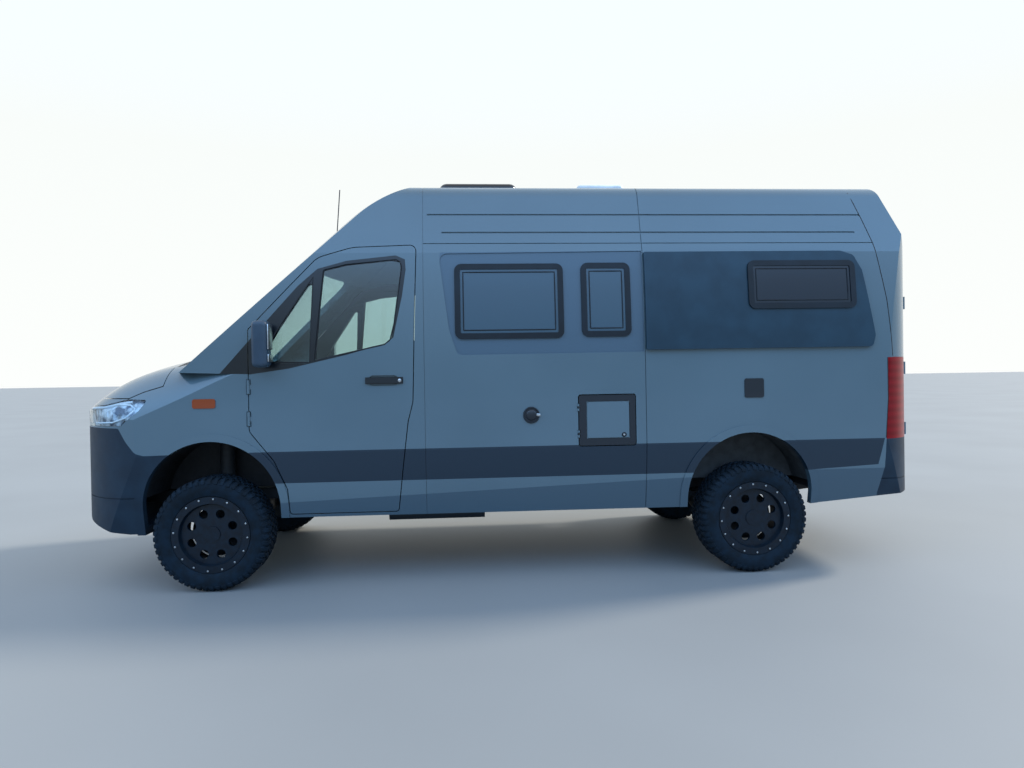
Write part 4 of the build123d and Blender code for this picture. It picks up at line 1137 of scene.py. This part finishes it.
# size, place along and up, and for the pads how far each leans back
seatForm = {
    "cushion": (520, 500, 150, (-860, 995), -6),
    "back": (130, 490, 620, (-560, 1350), -12),
    "rest": (90, 270, 190, (-500, 1740), -10),
    "base": (420, 420, 200, (-850, 800)),
    "fromMiddle": 470,
    "crown": 0.22,
}
padForm = {
    "cuts": 9,
    "pullIn": 0.035,
    "bevel": 18,
}


def crownedPad(size, spot, name, turn, crown):
    # a block with its middle pushed out and its corners left, then rounded by subdivision
    deselectAll()
    bpy.ops.mesh.primitive_cube_add(size=1, location=(0, 0, 0))
    pad = bpy.context.object
    pad.scale = [v * mm for v in size]
    settle(pad)
    editMode()
    bpy.ops.mesh.select_all(action="SELECT")
    bpy.ops.mesh.subdivide(number_cuts=padForm["cuts"])
    objectMode()
    half = [v * mm / 2 for v in size]
    thin = half.index(min(half))
    wide = [axis for axis in range(3) if axis != thin]
    for vertex in pad.data.vertices:
        share = 1.0
        for axis in wide:
            share *= max(0.0, 1 - (vertex.co[axis] / half[axis]) ** 2)
        vertex.co[thin] *= 1 + crown * share
        # the sides pull in between the corners
        for axis in wide:
            other = wide[0] if axis == wide[1] else wide[1]
            middle = 1 - (vertex.co[other] / half[other]) ** 2
            vertex.co[axis] *= 1 - padForm["pullIn"] * middle
    modify(
        pad, "BEVEL", width=padForm["bevel"] * mm, segments=3, limit_method="ANGLE",
        angle_limit=math.radians(50))
    modify(pad, "SUBSURF", levels=1, render_levels=1)
    pad.rotation_euler = [math.radians(v) for v in turn]
    pad.location = [v * mm for v in spot]
    settle(pad)
    smooth(pad, 60)
    return nameIt(pad, name)


for side, sign in (("left", -1), ("right", 1)):
    y = sign * seatForm["fromMiddle"]
    for key in ("cushion", "back", "rest"):
        *size, (x, z), tilt = seatForm[key]
        name = "seat" + key.title() + "_" + side
        pad = crownedPad(size, (x, y, z), name, (0, tilt, 0), seatForm["crown"])
        place(pad, "body", seatCloth)
    *size, (x, z) = seatForm["base"]
    base = roundedBox(size, (x, y, z), "seatBase_" + side, 20, 3)
    place(base, "body", cabPlastic)
    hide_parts("front_seats")
print("seats")


# living area: mattress and bench cushion

bedForm = {
    "mattress": (1560, 1640, 90, (1970, 0, 1606)),
    "bench": (560, 400, 90, (-40, -690, 1166)),
    "crown": 0.16,
}
for key in ("mattress", "bench"):
    *size, centre = bedForm[key]
    pad = crownedPad(size, centre, key + "Pad", (0, 0, 0), bedForm["crown"])
    place(pad, "body", seatCloth)
print("living area pads")


# camera: where the photograph was taken from, in metres and degrees

camera = {
    "place": (-0.2855, -5.5861, 1.3784),
    "yaw": 3.966,
    "pitch": -0.587,
    "roll": -0.918,
    "focalPixels": 682.5,
    "photoWidth": 1024,
    "sensor": 36.0,
    "farEnd": 1000,
}


def setCamera():
    yaw, pitch, roll = (math.radians(camera[key]) for key in ("yaw", "pitch", "roll"))
    ahead = Vector((math.sin(yaw) * math.cos(pitch), math.cos(yaw) * math.cos(pitch), math.sin(pitch)))
    right = Vector((math.cos(yaw), -math.sin(yaw), 0))
    up = right.cross(ahead)
    turnedRight = right * math.cos(roll) + up * math.sin(roll)
    turnedUp = up * math.cos(roll) - right * math.sin(roll)
    data = bpy.data.cameras.new("photoCamera")
    data.sensor_width = camera["sensor"]
    data.lens = camera["focalPixels"] / camera["photoWidth"] * camera["sensor"]
    data.clip_end = camera["farEnd"]
    obj = bpy.data.objects.new("photoCamera", data)
    bpy.context.scene.collection.objects.link(obj)
    obj.matrix_world = Matrix.Translation(camera["place"]) @ Matrix(
        (turnedRight, turnedUp, -ahead)).transposed().to_4x4()
    bpy.context.scene.camera = obj


# floor and light

floorForm = {"size": 600, "z": -0.001}


def paleConcrete(name):
    # smooth pale concrete: dull and almost even, with broad faint clouds
    material, tree, coords, shader = newMaterial(name)
    varied(tree, coords, shader, "#7f8384", "#848889", 2500)
    setShader(shader, Roughness=0.6)
    return material


def setStage():
    deselectAll()
    bpy.ops.mesh.primitive_plane_add(size=floorForm["size"], location=(0, 0, floorForm["z"]))
    ground = nameIt(bpy.context.object, "paleFloor")
    dress(ground, paleConcrete("paleConcrete"))


# each sky holds height, colour and strength, from the horizon up
light = {
    "sky": 1.0,
    "frontSky": [
        (0.0, "#a3b7c4", 0.9), (0.1, "#a9c0d0", 1.0), (0.3, "#b6d2f2", 1.5), (0.55, "#9cc6f8", 3.8),
        (1.0, "#7fb2f0", 2.4),
    ],
    "backSky": [(0.0, "#fdfffd", 1.0), (0.3, "#f9fdfb", 1.0), (0.55, "#e3effa", 1.2), (1.0, "#a9cbf2", 1.6)],
    # how far forward and back the two skies blend
    "blend": (-0.5, 0.6),
    "key": 3.6,
    "keyAngle": 9.0,
    "keyColour": "#fff3e2",
    "keyFrom": (1.3, 0.39, 1.0),
}


def setLight():
    world = bpy.data.worlds.new("softSky")
    bpy.context.scene.world = world
    world.use_nodes = True
    tree = world.node_tree
    tree.nodes.clear()
    coords = addNode(tree, "ShaderNodeTexCoord")
    parts = addNode(tree, "ShaderNodeSeparateXYZ", None, Vector=coords.outputs["Generated"])
    ramps = []
    for stops in (light["frontSky"], light["backSky"]):
        ramp = addNode(tree, "ShaderNodeValToRGB", None, Fac=parts.outputs[2])
        elements = ramp.color_ramp.elements
        for index, (position, code, power) in enumerate(stops):
            element = elements[index] if index < 1 else elements.new(position)
            element.position = position
            element.color = [v * power for v in linear(code)[:3]] + [1.0]
        elements.remove(elements[-1])
        ramps.append(ramp)
    low, high = light["blend"]
    behind = addNode(
        tree, "ShaderNodeMapRange",
        {"From Min": low, "From Max": high, "interpolation_type": "SMOOTHSTEP"}, Value=parts.outputs[1])
    both = addNode(tree, "ShaderNodeMix", {"data_type": "RGBA"}, Factor=behind.outputs[0])
    tree.links.new(ramps[0].outputs[0], both.inputs[6])
    tree.links.new(ramps[1].outputs[0], both.inputs[7])
    sky = addNode(tree, "ShaderNodeBackground", {"Strength": light["sky"]}, Color=both.outputs[2])
    output = addNode(tree, "ShaderNodeOutputWorld")
    tree.links.new(sky.outputs[0], output.inputs[0])
    data = bpy.data.lights.new("keySoftbox", "SUN")
    data.energy = light["key"]
    data.angle = math.radians(light["keyAngle"])
    data.color = linear(light["keyColour"])[:3]
    obj = bpy.data.objects.new("keySoftbox", data)
    bpy.context.scene.collection.objects.link(obj)
    obj.rotation_euler = Vector(light["keyFrom"]).to_track_quat("Z", "Y").to_euler()


setCamera()
setStage()
setLight()
scene = bpy.context.scene
scene.view_settings.view_transform = "Standard"
scene.view_settings.exposure = 0.0
